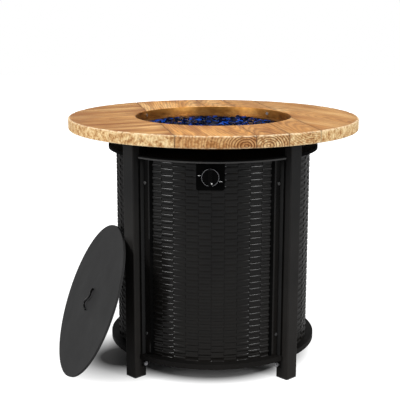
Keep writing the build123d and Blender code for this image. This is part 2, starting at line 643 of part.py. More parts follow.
def make_bowl_screws():
    """Each screw's head lies inside the bowl's wall, and its shank runs outwards."""
    seat = BOWL_RADIUS - BOWL_SHEET
    inner = seat - SCREW_HEAD_HEIGHT
    height = TABLE_HEIGHT - BOWL_SCREW_DEPTH
    screws = []
    for azimuth in BOWL_SCREW_AZIMUTHS:
        shank = radial_rod(SCREW_RADIUS, azimuth, height, inner, BOWL_RADIUS + SCREW_LENGTH - 1)
        head = radial_rod(SCREW_HEAD_RADIUS, azimuth, height, inner, seat - PILOT_CLEARANCE)
        screws.append(shank + head)
    return screws


def probe_pocket(low, high):
    """The space that the igniter and thermocouple need in the glass."""
    reach = INSULATOR_RADIUS + CHANNEL_CLEARANCE * 2
    x = (ELECTRODE_X - reach, THERMOCOUPLE_X + reach)
    return block(x, (PROBE_Y - reach, -BURNER_RADIUS), (low, high))


def make_fire_glass():
    floor = PAN_FLOOR_TOP + GLASS_GAP
    glass = disc(PAN_RADIUS - BOWL_SHEET - GLASS_GAP, floor, GLASS_TOP)
    tube = BURNER_TUBE_RADIUS + CHANNEL_CLEARANCE
    roof = BURNER_HEIGHT + tube
    glass -= ring(BURNER_RADIUS - tube, BURNER_RADIUS + tube, floor - 1, roof)
    glass -= disc(BURNER_HUB_RADIUS + CHANNEL_CLEARANCE, floor - 1, roof)
    spoke = BURNER_SPOKE_RADIUS + CHANNEL_CLEARANCE
    glass -= block((-BURNER_RADIUS, BURNER_RADIUS), (-spoke, spoke), (floor - 1, roof))
    return glass - probe_pocket(floor - 1, ROD_TOP + CHANNEL_CLEARANCE)


def burner_hollow(wall):
    """The burner's ring, spoke and hub as a solid, or with a wall taken off all round."""
    tube = BURNER_TUBE_RADIUS - wall
    spoke = BURNER_SPOKE_RADIUS - wall
    low, high = BURNER_HEIGHT - tube, BURNER_HEIGHT + tube
    body = ring(BURNER_RADIUS - tube, BURNER_RADIUS + tube, low, high)
    spoke_z = (BURNER_HEIGHT - spoke, BURNER_HEIGHT + spoke)
    body += block((-BURNER_RADIUS, BURNER_RADIUS), (-spoke, spoke), spoke_z)
    return body + disc(BURNER_HUB_RADIUS - wall, low, high)


def make_burner_ring():
    """A hollow pressed ring with one spoke through its hub and flame holes on top."""
    body = burner_hollow(0)
    body -= burner_hollow(BURNER_WALL)
    body -= disc(INLET_PIPE_BORE, BURNER_BOTTOM - 1, BURNER_HEIGHT)
    flame_hole = Pos(BURNER_RADIUS, 0, 0) * disc(FLAME_HOLE_RADIUS, BURNER_HEIGHT, BURNER_HEIGHT + 20)
    for index in range(FLAME_HOLE_COUNT):
        body -= Rot(0, 0, 360 * (index + 0.5) / FLAME_HOLE_COUNT) * flame_hole
    return body


def make_standoffs():
    post = Pos(BURNER_RADIUS, 0, 0) * disc(STANDOFF_RADIUS, PAN_FLOOR_TOP, BURNER_BOTTOM - PROBE_CLEARANCE)
    return [Rot(0, 0, 45 + 90 * index) * post for index in range(4)]


def make_burner_inlet():
    pipe = disc(INLET_PIPE_RADIUS, INLET_PIPE_BOTTOM, BURNER_BOTTOM)
    pipe += disc(SHOULDER_RADIUS, PAN_FLOOR_TOP, BURNER_BOTTOM)
    return pipe - disc(INLET_PIPE_BORE, INLET_PIPE_BOTTOM - 1, BURNER_BOTTOM + 1)


def make_lock_nut():
    nut = hexagon(LOCK_NUT_ACROSS, LOCK_NUT_HEIGHT) - Cylinder(INLET_PIPE_RADIUS + PILOT_CLEARANCE, 2 * LOCK_NUT_HEIGHT)
    return Pos(0, 0, PAN_FLOOR_BOTTOM - LOCK_NUT_HEIGHT / 2) * nut


def make_air_mixer():
    mixer = disc(MIXER_RADIUS, MIXER_BOTTOM, INLET_PIPE_BOTTOM)
    mixer -= disc(INLET_PIPE_BORE + 2, MIXER_BOTTOM + 4, INLET_PIPE_BOTTOM + 1)
    mixer -= disc(TUBE_BORE, MIXER_BOTTOM - 1, INLET_PIPE_BOTTOM)
    middle = MIXER_BOTTOM + MIXER_HEIGHT / 2
    window = block((-MIXER_RADIUS - 1, MIXER_RADIUS + 1), (-MIXER_WINDOW / 2, MIXER_WINDOW / 2),
                   (middle - MIXER_WINDOW / 2, middle + MIXER_WINDOW / 2))
    return mixer - window


# Igniter, thermocouple and their wires

def make_probe_bracket():
    """A strip on the pan's floor that holds the electrode and the thermocouple upright."""
    half = INSULATOR_RADIUS + PROBE_BRACKET_SHEET
    floor = PAN_FLOOR_TOP
    x = (ELECTRODE_X - half, THERMOCOUPLE_X + half)
    y = (PROBE_Y - half, PROBE_Y + half)
    bracket = block(x, y, (floor, floor + PROBE_BRACKET_SHEET * 3))
    for centre, radius in ((ELECTRODE_X, INSULATOR_RADIUS), (THERMOCOUPLE_X, THERMOCOUPLE_RADIUS)):
        bracket -= Pos(centre, PROBE_Y, 0) * disc(radius + PILOT_CLEARANCE, floor - 1, floor + 20)
    return bracket


def make_electrode_insulator():
    body = disc(INSULATOR_RADIUS, INSULATOR_BOTTOM, INSULATOR_TOP)
    return Pos(ELECTRODE_X, PROBE_Y, 0) * (body - disc(ROD_RADIUS + PILOT_CLEARANCE, 0, TABLE_HEIGHT))


def make_electrode_rod():
    return Pos(ELECTRODE_X, PROBE_Y, 0) * disc(ROD_RADIUS, INSULATOR_BOTTOM, ROD_TOP)


def make_thermocouple():
    body = disc(THERMOCOUPLE_RADIUS, INSULATOR_BOTTOM, ROD_TOP)
    body = fillet(body.edges().sort_by(Axis.Z)[-1], THERMOCOUPLE_RADIUS * 0.8)
    return Pos(THERMOCOUPLE_X, PROBE_Y, 0) * body


def wire_route(x, start_y, run_z):
    """Back from the control, then up through the top plate to the probe."""
    corner = (x, PROBE_Y, run_z)
    return FilletPolyline((x, start_y, run_z), corner, (x, PROBE_Y, INSULATOR_BOTTOM), radius=WIRE_BEND)


def make_ignition_wire():
    return swept(wire_route(ELECTRODE_X, PIEZO_REAR, PIEZO_Z), WIRE_RADIUS)


def make_thermocouple_lead():
    return swept(wire_route(THERMOCOUPLE_X, VALVE_REAR + VALVE_CAP_THICKNESS, CONTROL_Z + 8), WIRE_RADIUS)


def make_piezo():
    body = rod_y(PIEZO_RADIUS, CONTROL_X, PIEZO_Z, PIEZO_FRONT, PIEZO_REAR)
    half = PIEZO_RADIUS * 0.8
    foot = block((CONTROL_X - half, CONTROL_X + half), (PIEZO_FRONT, VALVE_REAR), (VALVE_TOP, PIEZO_Z))
    return body + foot


# Gas valve, fittings and tube

def make_valve_body():
    half = VALVE_WIDTH / 2
    body = block((CONTROL_X - half, CONTROL_X + half), (VALVE_FRONT, VALVE_REAR), (VALVE_BOTTOM, VALVE_TOP))
    body += rod_y(NECK_RADIUS, CONTROL_X, CONTROL_Z, VALVE_FRONT, NECK_FRONT)
    body -= rod_y(PLUG_RADIUS + PLUG_FIT, CONTROL_X, CONTROL_Z, VALVE_REAR + 1, PLUG_FRONT - PROBE_CLEARANCE)
    body -= rod_y(STEM_RADIUS + STEM_FIT, CONTROL_X, CONTROL_Z, PLUG_FRONT + 1, NECK_FRONT - 1)
    body -= Pos(CONTROL_X, VALVE_PORT_Y, VALVE_BOTTOM) * Cylinder(TUBE_BORE, 2 * PLUG_RADIUS)
    return body - rod_x(INLET_BORE_RADIUS, VALVE_PORT_Y, CONTROL_Z, CONTROL_X - half - 1, CONTROL_X)


def make_valve_cap():
    half = VALVE_WIDTH / 2
    return block((CONTROL_X - half, CONTROL_X + half), (VALVE_REAR, VALVE_REAR + VALVE_CAP_THICKNESS),
                 (VALVE_BOTTOM, VALVE_TOP))


def stem_shape(radius, rear, front):
    """A round rod along the knob's axis with a flat on top."""
    rod = rod_y(radius, CONTROL_X, CONTROL_Z, rear, front)
    flat = STEM_FLAT + radius - STEM_RADIUS
    cut = block((CONTROL_X - 10, CONTROL_X + 10), (front - 1, rear + 1), (CONTROL_Z + flat, CONTROL_Z + 20))
    return rod - cut


def make_valve_plug():
    plug = rod_y(PLUG_RADIUS, CONTROL_X, CONTROL_Z, PLUG_REAR, PLUG_FRONT)
    port = Cylinder(PLUG_PORT_RADIUS, PLUG_RADIUS * 1.2)
    port = Pos(CONTROL_X, VALVE_PORT_Y, CONTROL_Z - PLUG_RADIUS / 2) * port
    return plug - port - stem_shape(STEM_RADIUS + STEM_FIT, STEM_REAR + 4, PLUG_FRONT - 1)


STEM_FRONT = KNOB_FACE + 2


def make_valve_stem():
    """Round where it runs in the valve's neck, with a flat where it drives the plug."""
    return stem_shape(STEM_RADIUS, STEM_REAR, STEM_FRONT)


def make_valve_nut():
    nut = hexagon(NECK_NUT_ACROSS, 3) - Cylinder(NECK_RADIUS + PILOT_CLEARANCE, 10)
    return Pos(CONTROL_X, CONTROL_PLATE_FRONT - 1.5, CONTROL_Z) * Rot(90, 0, 0) * nut


def make_outlet_fitting():
    top = VALVE_BOTTOM
    nut = hexagon(2 * FITTING_RADIUS, OUTLET_LENGTH) - Cylinder(TUBE_BORE, OUTLET_LENGTH * 2)
    return Pos(CONTROL_X, VALVE_PORT_Y, top - OUTLET_LENGTH / 2) * nut


def make_inlet_fitting():
    """A hexagon against the valve and a male thread that a hose nut screws onto."""
    start = CONTROL_X - VALVE_WIDTH / 2
    hexa = Rot(0, 90, 0) * hexagon(2 * FITTING_RADIUS, INLET_HEX_LENGTH)
    hexa = Pos(start - INLET_HEX_LENGTH / 2, VALVE_PORT_Y, CONTROL_Z) * hexa
    end = start - INLET_HEX_LENGTH - INLET_THREAD_LENGTH
    thread = rod_x(INLET_THREAD_RADIUS, VALVE_PORT_Y, CONTROL_Z, end, start - INLET_HEX_LENGTH)
    return hexa + thread - rod_x(INLET_BORE_RADIUS, VALVE_PORT_Y, CONTROL_Z, end - 1, start + 1)


def make_gas_tube():
    start = (CONTROL_X, VALVE_PORT_Y, VALVE_BOTTOM - OUTLET_LENGTH)
    route = FilletPolyline(start, (CONTROL_X, VALVE_PORT_Y, TUBE_RUN_Z), (0, 0, TUBE_RUN_Z),
                           (0, 0, MIXER_BOTTOM), radius=TUBE_BEND)
    return swept(route, TUBE_RADIUS, TUBE_BORE)


# Control plate and knob

def make_control_plate():
    """A square plate whose back follows the curved panel."""
    face = Plane.XZ * RectangleRounded(CONTROL_PLATE_WIDTH, CONTROL_PLATE_WIDTH, CONTROL_PLATE_CORNER)
    plate = extrude(face, CONTROL_PLATE_DEPTH, dir=(0, 1, 0))
    plate = Pos(CONTROL_X, CONTROL_PLATE_FRONT, CONTROL_Z) * plate
    front_edges = plate.faces().sort_by(Axis.Y)[0].edges()
    plate = fillet(front_edges, 1.0)
    plate -= disc(PANEL_RADIUS + PILOT_CLEARANCE, 0, TABLE_HEIGHT)
    return plate - rod_y(NECK_RADIUS + NECK_CLEARANCE, CONTROL_X, CONTROL_Z, VALVE_REAR, KNOB_FACE)


def make_control_knob():
    disc_part = rod_y(KNOB_RADIUS, CONTROL_X, CONTROL_Z, KNOB_REAR, KNOB_FACE)
    disc_part = fillet(disc_part.edges().sort_by(Axis.Y)[0], KNOB_EDGE_ROUND)
    grip = block((-GRIP_WIDTH / 2, GRIP_WIDTH / 2), (-GRIP_DEPTH, 2), (-KNOB_RADIUS, KNOB_RADIUS))
    grip = fillet(grip.faces().sort_by(Axis.Y)[0].edges(), KNOB_EDGE_ROUND)
    grip = Pos(CONTROL_X, KNOB_FACE, CONTROL_Z) * grip
    grip &= rod_y(KNOB_RADIUS - KNOB_EDGE_ROUND, CONTROL_X, CONTROL_Z, KNOB_REAR, KNOB_FACE - GRIP_DEPTH)
    knob = disc_part + grip
    knob -= rod_y(KNOB_RECESS_RADIUS, CONTROL_X, CONTROL_Z, KNOB_REAR + 1, KNOB_REAR - KNOB_RECESS_DEPTH)
    ring_low = KNOB_FACE + KNOB_EDGE_ROUND
    groove = trim_sleeve(KNOB_RADIUS - TRIM_RING_WALL / 2, KNOB_RADIUS + 2, ring_low)
    return knob - groove - stem_shape(STEM_RADIUS + PILOT_CLEARANCE, KNOB_REAR, STEM_FRONT)


def trim_sleeve(inner, outer, front):
    """A ring round the knob's edge."""
    sleeve = rod_y(outer, CONTROL_X, CONTROL_Z, front, front + TRIM_RING_LENGTH)
    return sleeve - rod_y(inner, CONTROL_X, CONTROL_Z, front - 1, front + TRIM_RING_LENGTH + 1)


def make_trim_ring():
    inner = KNOB_RADIUS - TRIM_RING_WALL / 2 + PILOT_CLEARANCE
    return trim_sleeve(inner, KNOB_RADIUS + TRIM_RING_WALL / 2, KNOB_FACE + KNOB_EDGE_ROUND)


# The lid, modelled lying flat with its face up and then leaned on the leg

def lid_pose():
    """Local +Z becomes the lid's outward face normal, and local +X its uphill direction."""
    heading = math.radians(LID_HEADING)
    tilt = math.radians(LID_TILT)
    out = Vector(-math.sin(heading), -math.cos(heading), 0)
    normal = out * math.cos(tilt) + Vector(0, 0, math.sin(tilt))
    uphill = out * -math.sin(tilt) + Vector(0, 0, math.cos(tilt))
    height = LID_RADIUS * uphill.Z + LID_RIM * normal.Z
    leg = turned(LEG_AZIMUTHS["left_front"]) * Pos(LEG_AXIS_RADIUS, 0, 0)
    centre = (leg.position.X + LID_FROM_LEG_X, leg.position.Y + LID_FROM_LEG_Y, height)
    return Plane(centre, x_dir=uphill, z_dir=normal)


LID_PLANE = lid_pose()
LID_SCREW_X = LID_HANDLE_LENGTH / 2


def handle_offset(x):
    """The wavy centre line of the grip."""
    return -LID_HANDLE_WAVE * math.sin(2 * math.pi * x / LID_HANDLE_LENGTH)


def make_lid_plate():
    lid = disc(LID_RADIUS, -LID_RIM, 0) - disc(LID_RADIUS - LID_SHEET, -LID_RIM - 1, -LID_SHEET)
    rim_edge = lid.edges().filter_by(GeomType.CIRCLE).sort_by(Axis.Z)[-1]
    lid = fillet(rim_edge, LID_SHEET * 0.8)
    for sign in (-1, 1):
        x = sign * LID_SCREW_X
        lid -= Pos(x, handle_offset(x), 0) * disc(SCREW_RADIUS + SCREW_CLEARANCE, -LID_RIM, 1)
    return LID_PLANE * lid


def make_lid_handle():
    """A round rod bent to an S above the plate, with both ends turned down to it."""
    points = [(-LID_SCREW_X, 0, LID_HANDLE_FOOT)]
    for step in range(-3, 4):
        x = LID_SCREW_X * step / 4
        points.append((x, handle_offset(x), LID_HANDLE_HEIGHT))
    points.append((LID_SCREW_X, 0, LID_HANDLE_FOOT))
    grip = swept(Spline(*points, tangents=((0, 0, 1), (0, 0, -1))), LID_HANDLE_ROD)
    for sign in (-1, 1):
        foot = disc(LID_HANDLE_ROD, 0, LID_HANDLE_FOOT)
        pilot = disc(SCREW_RADIUS + PILOT_CLEARANCE, -1, LID_HANDLE_FOOT)
        grip = grip + Pos(sign * LID_SCREW_X, 0, 0) * foot - Pos(sign * LID_SCREW_X, 0, 0) * pilot
    return LID_PLANE * grip


def make_lid_screws():
    screws = []
    for sign in (-1, 1):
        x = sign * LID_SCREW_X
        screw = disc(SCREW_RADIUS, -LID_SHEET, LID_HANDLE_FOOT - 0.5)
        screw += disc(SCREW_HEAD_RADIUS, -LID_SHEET - SCREW_HEAD_HEIGHT, -LID_SHEET)
        screws.append(LID_PLANE * (Pos(x, handle_offset(x), 0) * screw))
    return screws


def save(name, shape):
    """Writes one sub-part, or a group of separate alike solids."""
    place = Pos(TABLE_AXIS_X, 0, 0)
    if isinstance(shape, list):
        shape = Compound(children=[place * solid for item in shape for solid in item.solids()])
    else:
        shape = place * shape
    export_step(shape, f"parts/{name}.step")


def main():
    os.makedirs("parts", exist_ok=True)
    save("tabletop", make_tabletop())
    save("tabletop_screws", make_tabletop_screws())
    for name, azimuth in LEG_AZIMUTHS.items():
        save(f"{name}_leg", make_leg(azimuth))
    save("leg_end_plates", make_end_plates())
    save("foot_plugs", make_foot_plugs())
    save("plate_bolts", make_plate_bolts())
    save("plate_nuts", make_plate_nuts())
    save("top_plate", make_top_plate())
    save("bottom_plate", make_bottom_plate())
    save("bottle_ring", make_bottle_ring())
    save("front_panel", make_front_panel())
    save("left_panel", make_fixed_panel(SIDE_AZIMUTHS["left_panel"]))
    save("right_panel", make_fixed_panel(SIDE_AZIMUTHS["right_panel"]))
    save("panel_cleats", make_cleats())
    save("panel_screws", make_panel_screws())
    save("rear_door", make_rear_door())
    save("door_pivot_pins", make_pivot_pins())
    save("door_knob", make_door_knob())
    save("door_magnet", make_magnet())
    save("magnet_bracket", make_magnet_bracket())
    save("fire_bowl", make_fire_bowl())
    save("bowl_screws", make_bowl_screws())
    save("fire_glass", make_fire_glass())
    save("burner_ring", make_burner_ring())
    save("burner_standoffs", make_standoffs())
    save("burner_inlet", make_burner_inlet())
    save("inlet_lock_nut", make_lock_nut())
    save("air_mixer", make_air_mixer())
    save("probe_bracket", make_probe_bracket())
    save("electrode_insulator", make_electrode_insulator())
    save("electrode_rod", make_electrode_rod())
    save("thermocouple", make_thermocouple())
    save("ignition_wire", make_ignition_wire())
    save("thermocouple_lead", make_thermocouple_lead())
    save("piezo_igniter", make_piezo())
    save("valve_body", make_valve_body())
    save("valve_cap", make_valve_cap())
    save("valve_plug", make_valve_plug())
    save("valve_stem", make_valve_stem())
    save("valve_nut", make_valve_nut())
    save("outlet_fitting", make_outlet_fitting())
    save("inlet_fitting", make_inlet_fitting())
    save("gas_tube", make_gas_tube())
    save("control_plate", make_control_plate())
    save("control_knob", make_control_knob())
    save("knob_trim_ring", make_trim_ring())
    save("lid_plate", make_lid_plate())
    save("lid_handle", make_lid_handle())
    save("lid_screws", make_lid_screws())


main()
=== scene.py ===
"""Looks of a round gas fire pit table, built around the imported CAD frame. Metres, row frame."""
import json
import math
from collections import namedtuple
import bpy
import bmesh
import numpy as np
from mathutils import Matrix, Vector


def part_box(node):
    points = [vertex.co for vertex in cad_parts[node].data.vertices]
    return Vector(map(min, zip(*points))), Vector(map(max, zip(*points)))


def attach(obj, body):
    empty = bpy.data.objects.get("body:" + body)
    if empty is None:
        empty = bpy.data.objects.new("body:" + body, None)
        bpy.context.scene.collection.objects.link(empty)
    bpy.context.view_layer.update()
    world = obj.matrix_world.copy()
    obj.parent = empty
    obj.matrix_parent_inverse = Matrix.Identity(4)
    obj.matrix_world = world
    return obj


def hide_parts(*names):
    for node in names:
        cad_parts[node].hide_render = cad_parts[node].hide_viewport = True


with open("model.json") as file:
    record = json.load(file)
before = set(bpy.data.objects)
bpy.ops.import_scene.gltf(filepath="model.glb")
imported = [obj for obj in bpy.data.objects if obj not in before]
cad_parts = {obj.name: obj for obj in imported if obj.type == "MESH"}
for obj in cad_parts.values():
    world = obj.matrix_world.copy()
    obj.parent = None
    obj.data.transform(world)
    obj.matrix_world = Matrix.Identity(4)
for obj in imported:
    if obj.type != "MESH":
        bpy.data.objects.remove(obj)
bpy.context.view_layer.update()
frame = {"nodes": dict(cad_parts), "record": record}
nodes = frame["nodes"]
scene = bpy.context.scene
scene.view_settings.view_transform = "Standard"

# Places and sizes that the looks share with the CAD nodes
TOP_MIN, TOP_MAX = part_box("tabletop")
AXIS_X = (TOP_MIN.x + TOP_MAX.x) / 2
TOP_LOW, TOP_Z = TOP_MIN.z, TOP_MAX.z
RIM = (TOP_MAX.x - TOP_MIN.x) / 2
# The facets of the CAD mesh lie a little inside the top's real radius
TOP_RADIUS = round(RIM, 3)
HOLE = 0.2065
GLASS_MIN, GLASS_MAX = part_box("fire_glass")
PLATE_MIN, PLATE_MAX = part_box("control_plate")
KNOB_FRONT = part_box("control_knob")[0].y
PLATE_X = (PLATE_MIN.x + PLATE_MAX.x) / 2 - AXIS_X
PLATE_Z = (PLATE_MIN.z + PLATE_MAX.z) / 2
PLATE_HALF = (PLATE_MAX.x - PLATE_MIN.x) / 2


# Camera

CAMERA_PLACE = (0.0278 + AXIS_X, -2.4608, 0.9611)
CAMERA_YAW, CAMERA_PITCH, CAMERA_ROLL = math.radians(-1.449), math.radians(12.334), math.radians(0.093)
SENSOR_WIDTH, LENS = 36, 83.98


def make_camera():
    """The photograph's camera: in front of the table, looking slightly down on it."""
    flat, fall = math.cos(CAMERA_PITCH), math.sin(CAMERA_PITCH)
    look = Vector((math.sin(CAMERA_YAW) * flat, math.cos(CAMERA_YAW) * flat, -fall))
    level = Vector((math.cos(CAMERA_YAW), -math.sin(CAMERA_YAW), 0))
    right = level * math.cos(CAMERA_ROLL) + level.cross(look) * math.sin(CAMERA_ROLL)
    turn = Matrix((right, right.cross(look), -look)).transposed().to_4x4()
    data = bpy.data.cameras.new("camera")
    data.sensor_width = SENSOR_WIDTH
    data.lens = LENS
    camera = bpy.data.objects.new("camera", data)
    camera.matrix_world = Matrix.Translation(CAMERA_PLACE) @ turn
    scene.collection.objects.link(camera)
    scene.camera = camera


make_camera()


# Material helpers

class Nodes:
    """Short calls that add nodes to a tree."""

    def __init__(self, tree):
        self.tree = tree

    def new(self, kind, **settings):
        node = self.tree.nodes.new(kind)
        for key, value in settings.items():
            setattr(node, key, value)
        return node

    def put(self, socket, value):
        """Link a socket's value, or set it when it is a plain one."""
        if isinstance(value, bpy.types.NodeSocket):
            self.tree.links.new(value, socket)
        else:
            socket.default_value = value

    def math(self, op, a, b=0.0, clamp=False):
        node = self.new("ShaderNodeMath", operation=op, use_clamp=clamp)
        for socket, value in zip(node.inputs, (a, b)):
            self.put(socket, value)
        return node.outputs[0]

    def plus(self, a, b):
        return self.math("ADD", a, b)

    def times(self, a, b, clamp=False):
        return self.math("MULTIPLY", a, b, clamp)

    def invert(self, value):
        return self.math("SUBTRACT", 1.0, value)

    def rise(self, value, start, length):
        """0 at the start and 1 a length beyond it, straight between. A negative length goes downward."""
        return self.math("DIVIDE", self.math("SUBTRACT", value, start), length, clamp=True)


class Mat(Nodes):
    """A material built in a few calls. Vectors come from object space, which is the row frame."""

    def __init__(self, name, rough, metallic=0.0, spec=0.5):
        self.mat = bpy.data.materials.new(name)
        self.mat.use_nodes = True
        super().__init__(self.mat.node_tree)
        self.shader = self.tree.nodes["Principled BSDF"]
        self.shader.inputs["Roughness"].default_value = rough
        self.shader.inputs["Metallic"].default_value = metallic
        self.shader.inputs["Specular IOR Level"].default_value = spec
        self.place = self.new("ShaderNodeTexCoord").outputs["Object"]

    def attribute(self, name, output="Fac"):
        return self.new("ShaderNodeAttribute", attribute_name=name).outputs[output]

    def axis(self, which, vector=None):
        node = self.new("ShaderNodeSeparateXYZ")
        self.put(node.inputs[0], self.place if vector is None else vector)
        return node.outputs[which]

    def stretch(self, scale, vector=None):
        """The place, or another vector, times a scale on each axis."""
        node = self.new("ShaderNodeVectorMath", operation="MULTIPLY")
        self.put(node.inputs[0], self.place if vector is None else vector)
        self.put(node.inputs[1], scale)
        return node.outputs[0]

    def away(self, centre, near, far):
        """0 inside the near radius of a point, 1 outside the far one."""
        node = self.new("ShaderNodeVectorMath", operation="DISTANCE")
        self.put(node.inputs[0], self.place)
        self.put(node.inputs[1], centre)
        return self.rise(node.outputs["Value"], near, far - near)

    def noise(self, scale, detail, rough=0.55, vector=None):
        node = self.new("ShaderNodeTexNoise")
        self.put(node.inputs["Vector"], self.place if vector is None else vector)
        node.inputs["Scale"].default_value = scale
        node.inputs["Detail"].default_value = detail
        node.inputs["Roughness"].default_value = rough
        return node.outputs["Fac"]

    def ramp(self, value, stops):
        """Grey or colour stops as (position, colour)."""
        node = self.new("ShaderNodeValToRGB")
        points = node.color_ramp.elements
        while len(points) < len(stops):
            points.new(0.5)
        for point, (position, colour) in zip(points, stops):
            point.position = position
            shade = (colour,) * 3 if isinstance(colour, (int, float)) else colour
            point.color = (*shade, 1)
        self.put(node.inputs[0], value)
        return node.outputs[0]

    def patches(self, scale, detail, low, high, weak=0.0, strong=1.0):
        """Noise as a mask: weak up to the low level, strong from the high one."""
        return self.ramp(self.noise(scale, detail), [(low, weak), (high, strong)])

    def mix(self, factor, a, b):
        node = self.new("ShaderNodeMix", data_type="RGBA")
        self.put(node.inputs[0], factor)
        for socket, value in ((node.inputs[6], a), (node.inputs[7], b)):
            self.put(socket, (*value, 1) if isinstance(value, tuple) else value)
        return node.outputs[2]

    def bump(self, height, strength, distance):
        node = self.new("ShaderNodeBump")
        node.inputs["Strength"].default_value = strength
        node.inputs["Distance"].default_value = distance
        self.put(node.inputs["Height"], height)
        return node.outputs[0]

    def done(self, colour, rough=None, normal=None):
        self.put(self.shader.inputs["Base Color"], colour)
        if rough is not None:
            self.put(self.shader.inputs["Roughness"], rough)
        if normal is not None:
            self.put(self.shader.inputs["Normal"], normal)
        return self.mat


def grey(value):
    return (value, value, value)


def scaled(colour, factor, lift=0.0):
    """A colour times a factor, plus a lift, at most white."""
    return tuple(min(1, part * factor + lift) for part in colour)


def edge_wear(m, radius, amount):
    """Grey mask that is high where two faces meet at a sharp edge."""
    soft = m.new("ShaderNodeBevel", samples=6)
    soft.inputs["Radius"].default_value = radius
    true = m.new("ShaderNodeNewGeometry").outputs["Normal"]
    dot = m.new("ShaderNodeVectorMath", operation="DOT_PRODUCT")
    m.put(dot.inputs[0], soft.outputs[0])
    m.put(dot.inputs[1], true)
    return m.times(m.invert(dot.outputs["Value"]), m.times(m.noise(180, 4), amount), clamp=True)


# Materials

# Colour and top height of the lighter, browner tint low down: painted light bounced off the floor, in dusty
# patches
DUST_AND_FLOOR_LIGHT = (0.075, 0.062, 0.052)
DUST_AND_LIGHT_TOP = 0.55


def powder_coat(name, dark, light, rough, spec, dust_and_light=0.0, bump=0.25):
    """Fine-textured paint with faint cloudiness, worn edges and a patchy, lighter and browner tint low down:
    a little dusty, and painted light from the floor.
    """
    m = Mat(name, rough, spec=spec)
    colour = m.mix(m.patches(9, 4, 0.35, 0.7), dark, light)
    colour = m.mix(m.patches(1400, 2, 0.60, 0.78, strong=0.35), colour, scaled(light, 2.2))
    # Painted light: lighter and browner toward the floor, standing in for light bounced off it, in dusty
    # patches
    if dust_and_light:
        low = m.times(m.invert(m.math("DIVIDE", m.axis(2), DUST_AND_LIGHT_TOP)), dust_and_light, clamp=True)
        low = m.times(low, m.patches(14, 5, 0.3, 0.7, weak=0.55))
        colour = m.mix(low, colour, DUST_AND_FLOOR_LIGHT)
    colour = m.mix(edge_wear(m, 0.0008, 1.6), colour, scaled(light, 3.2))
    height = m.plus(m.noise(1100, 2), m.times(m.noise(320, 3), 0.6))
    shine = m.plus(m.times(m.noise(22, 4), 0.16), rough - 0.08)
    return m.done(colour, shine, m.bump(height, bump, 0.00025))


def plate_shade_and_highlight_paint():
    """Very dark paint of the top plate, darker than the bottom plate's as painted shade under the tabletop,
    with a painted highlight: a grey band along the lower edge of its rim at the front.
    """
    m = Mat("plate_shade_and_highlight_paint", 0.6, spec=0.004)
    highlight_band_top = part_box("top_plate")[0].z + 0.0042
    front_y = -0.205
    # Painted highlight: the lowest few millimetres of the rim at the front turn grey, standing in for light
    # caught along that edge
    rubbed = m.times(m.rise(m.axis(2), highlight_band_top, -0.0006), m.rise(m.axis(1), front_y, -0.004))
    # Painted shade: darker than the bottom plate's paint, for the tabletop's shade on the top plate
    colour = m.mix(m.patches(9, 4, 0.35, 0.7), grey(0.0018), grey(0.0035))
    colour = m.mix(rubbed, colour, grey(0.050))
    return m.done(colour, 0.6, m.bump(m.noise(1100, 2), 0.25, 0.00025))


def woven_paint(name, spec, rough):
    """Black paint of the woven sheets, lighter and browner toward the floor: a little dusty, and painted
    light from the floor.
    """
    m = Mat(name, rough, spec=spec)
    colour = m.mix(m.patches(12, 4, 0.35, 0.7), (0.0035, 0.0035, 0.0036), (0.0055, 0.0054, 0.0052))
    # Painted light: lighter and browner toward the floor, standing in for light bounced off it
    low = m.math("SUBTRACT", 1.0, m.math("DIVIDE", m.axis(2), DUST_AND_LIGHT_TOP), clamp=True)
    colour = m.mix(m.times(low, 0.25), colour, (0.022, 0.019, 0.016))
    fine = m.noise(700, 3)
    shine = m.plus(m.times(fine, 0.1), rough - 0.05)
    return m.done(colour, shine, m.bump(fine, 0.1, 0.0002))


def brushed(name, colour, rough, grain=(1, 1, 40), spots=0.0):
    """Bright metal with fine scratches and slight stains."""
    m = Mat(name, rough, metallic=1.0)
    scratch = m.noise(220, 3, vector=m.stretch(grain))
    tone = m.mix(m.patches(40, 4, 0.35, 0.7), colour, scaled(colour, 0.72))
    if spots:
        tone = m.mix(m.patches(260, 2, 0.62, 0.72, strong=spots), tone, (0.16, 0.10, 0.06))
    shine = m.plus(m.times(scratch, 0.2), rough - 0.1)
    return m.done(tone, shine, m.bump(scratch, 0.15, 0.0002))


def plastic(name, colour, rough, grain=900, spec=0.5):
    """Moulded plastic, rubber or glaze, slightly clouded and worn at its edges."""
    m = Mat(name, rough, spec=spec)
    tone = m.mix(m.patches(60, 4, 0.3, 0.75), colour, scaled(colour, 1.5))
    tone = m.mix(edge_wear(m, 0.0005, 1.2), tone, scaled(colour, 3, 0.01))
    shine = m.plus(m.times(m.noise(70, 3), 0.16), rough - 0.08)
    return m.done(tone, shine, m.bump(m.noise(grain, 2), 0.12, 0.0002))


def mark_paint():
    """White paint of the pointer dot and the two ticks, a little rubbed."""
    m = Mat("mark_paint", 0.4)
    tone = m.mix(m.patches(900, 3, 0.4, 0.65), grey(0.72), (0.40, 0.40, 0.41))
    return m.done(tone, None, m.bump(m.noise(1500, 2), 0.2, 0.0001))


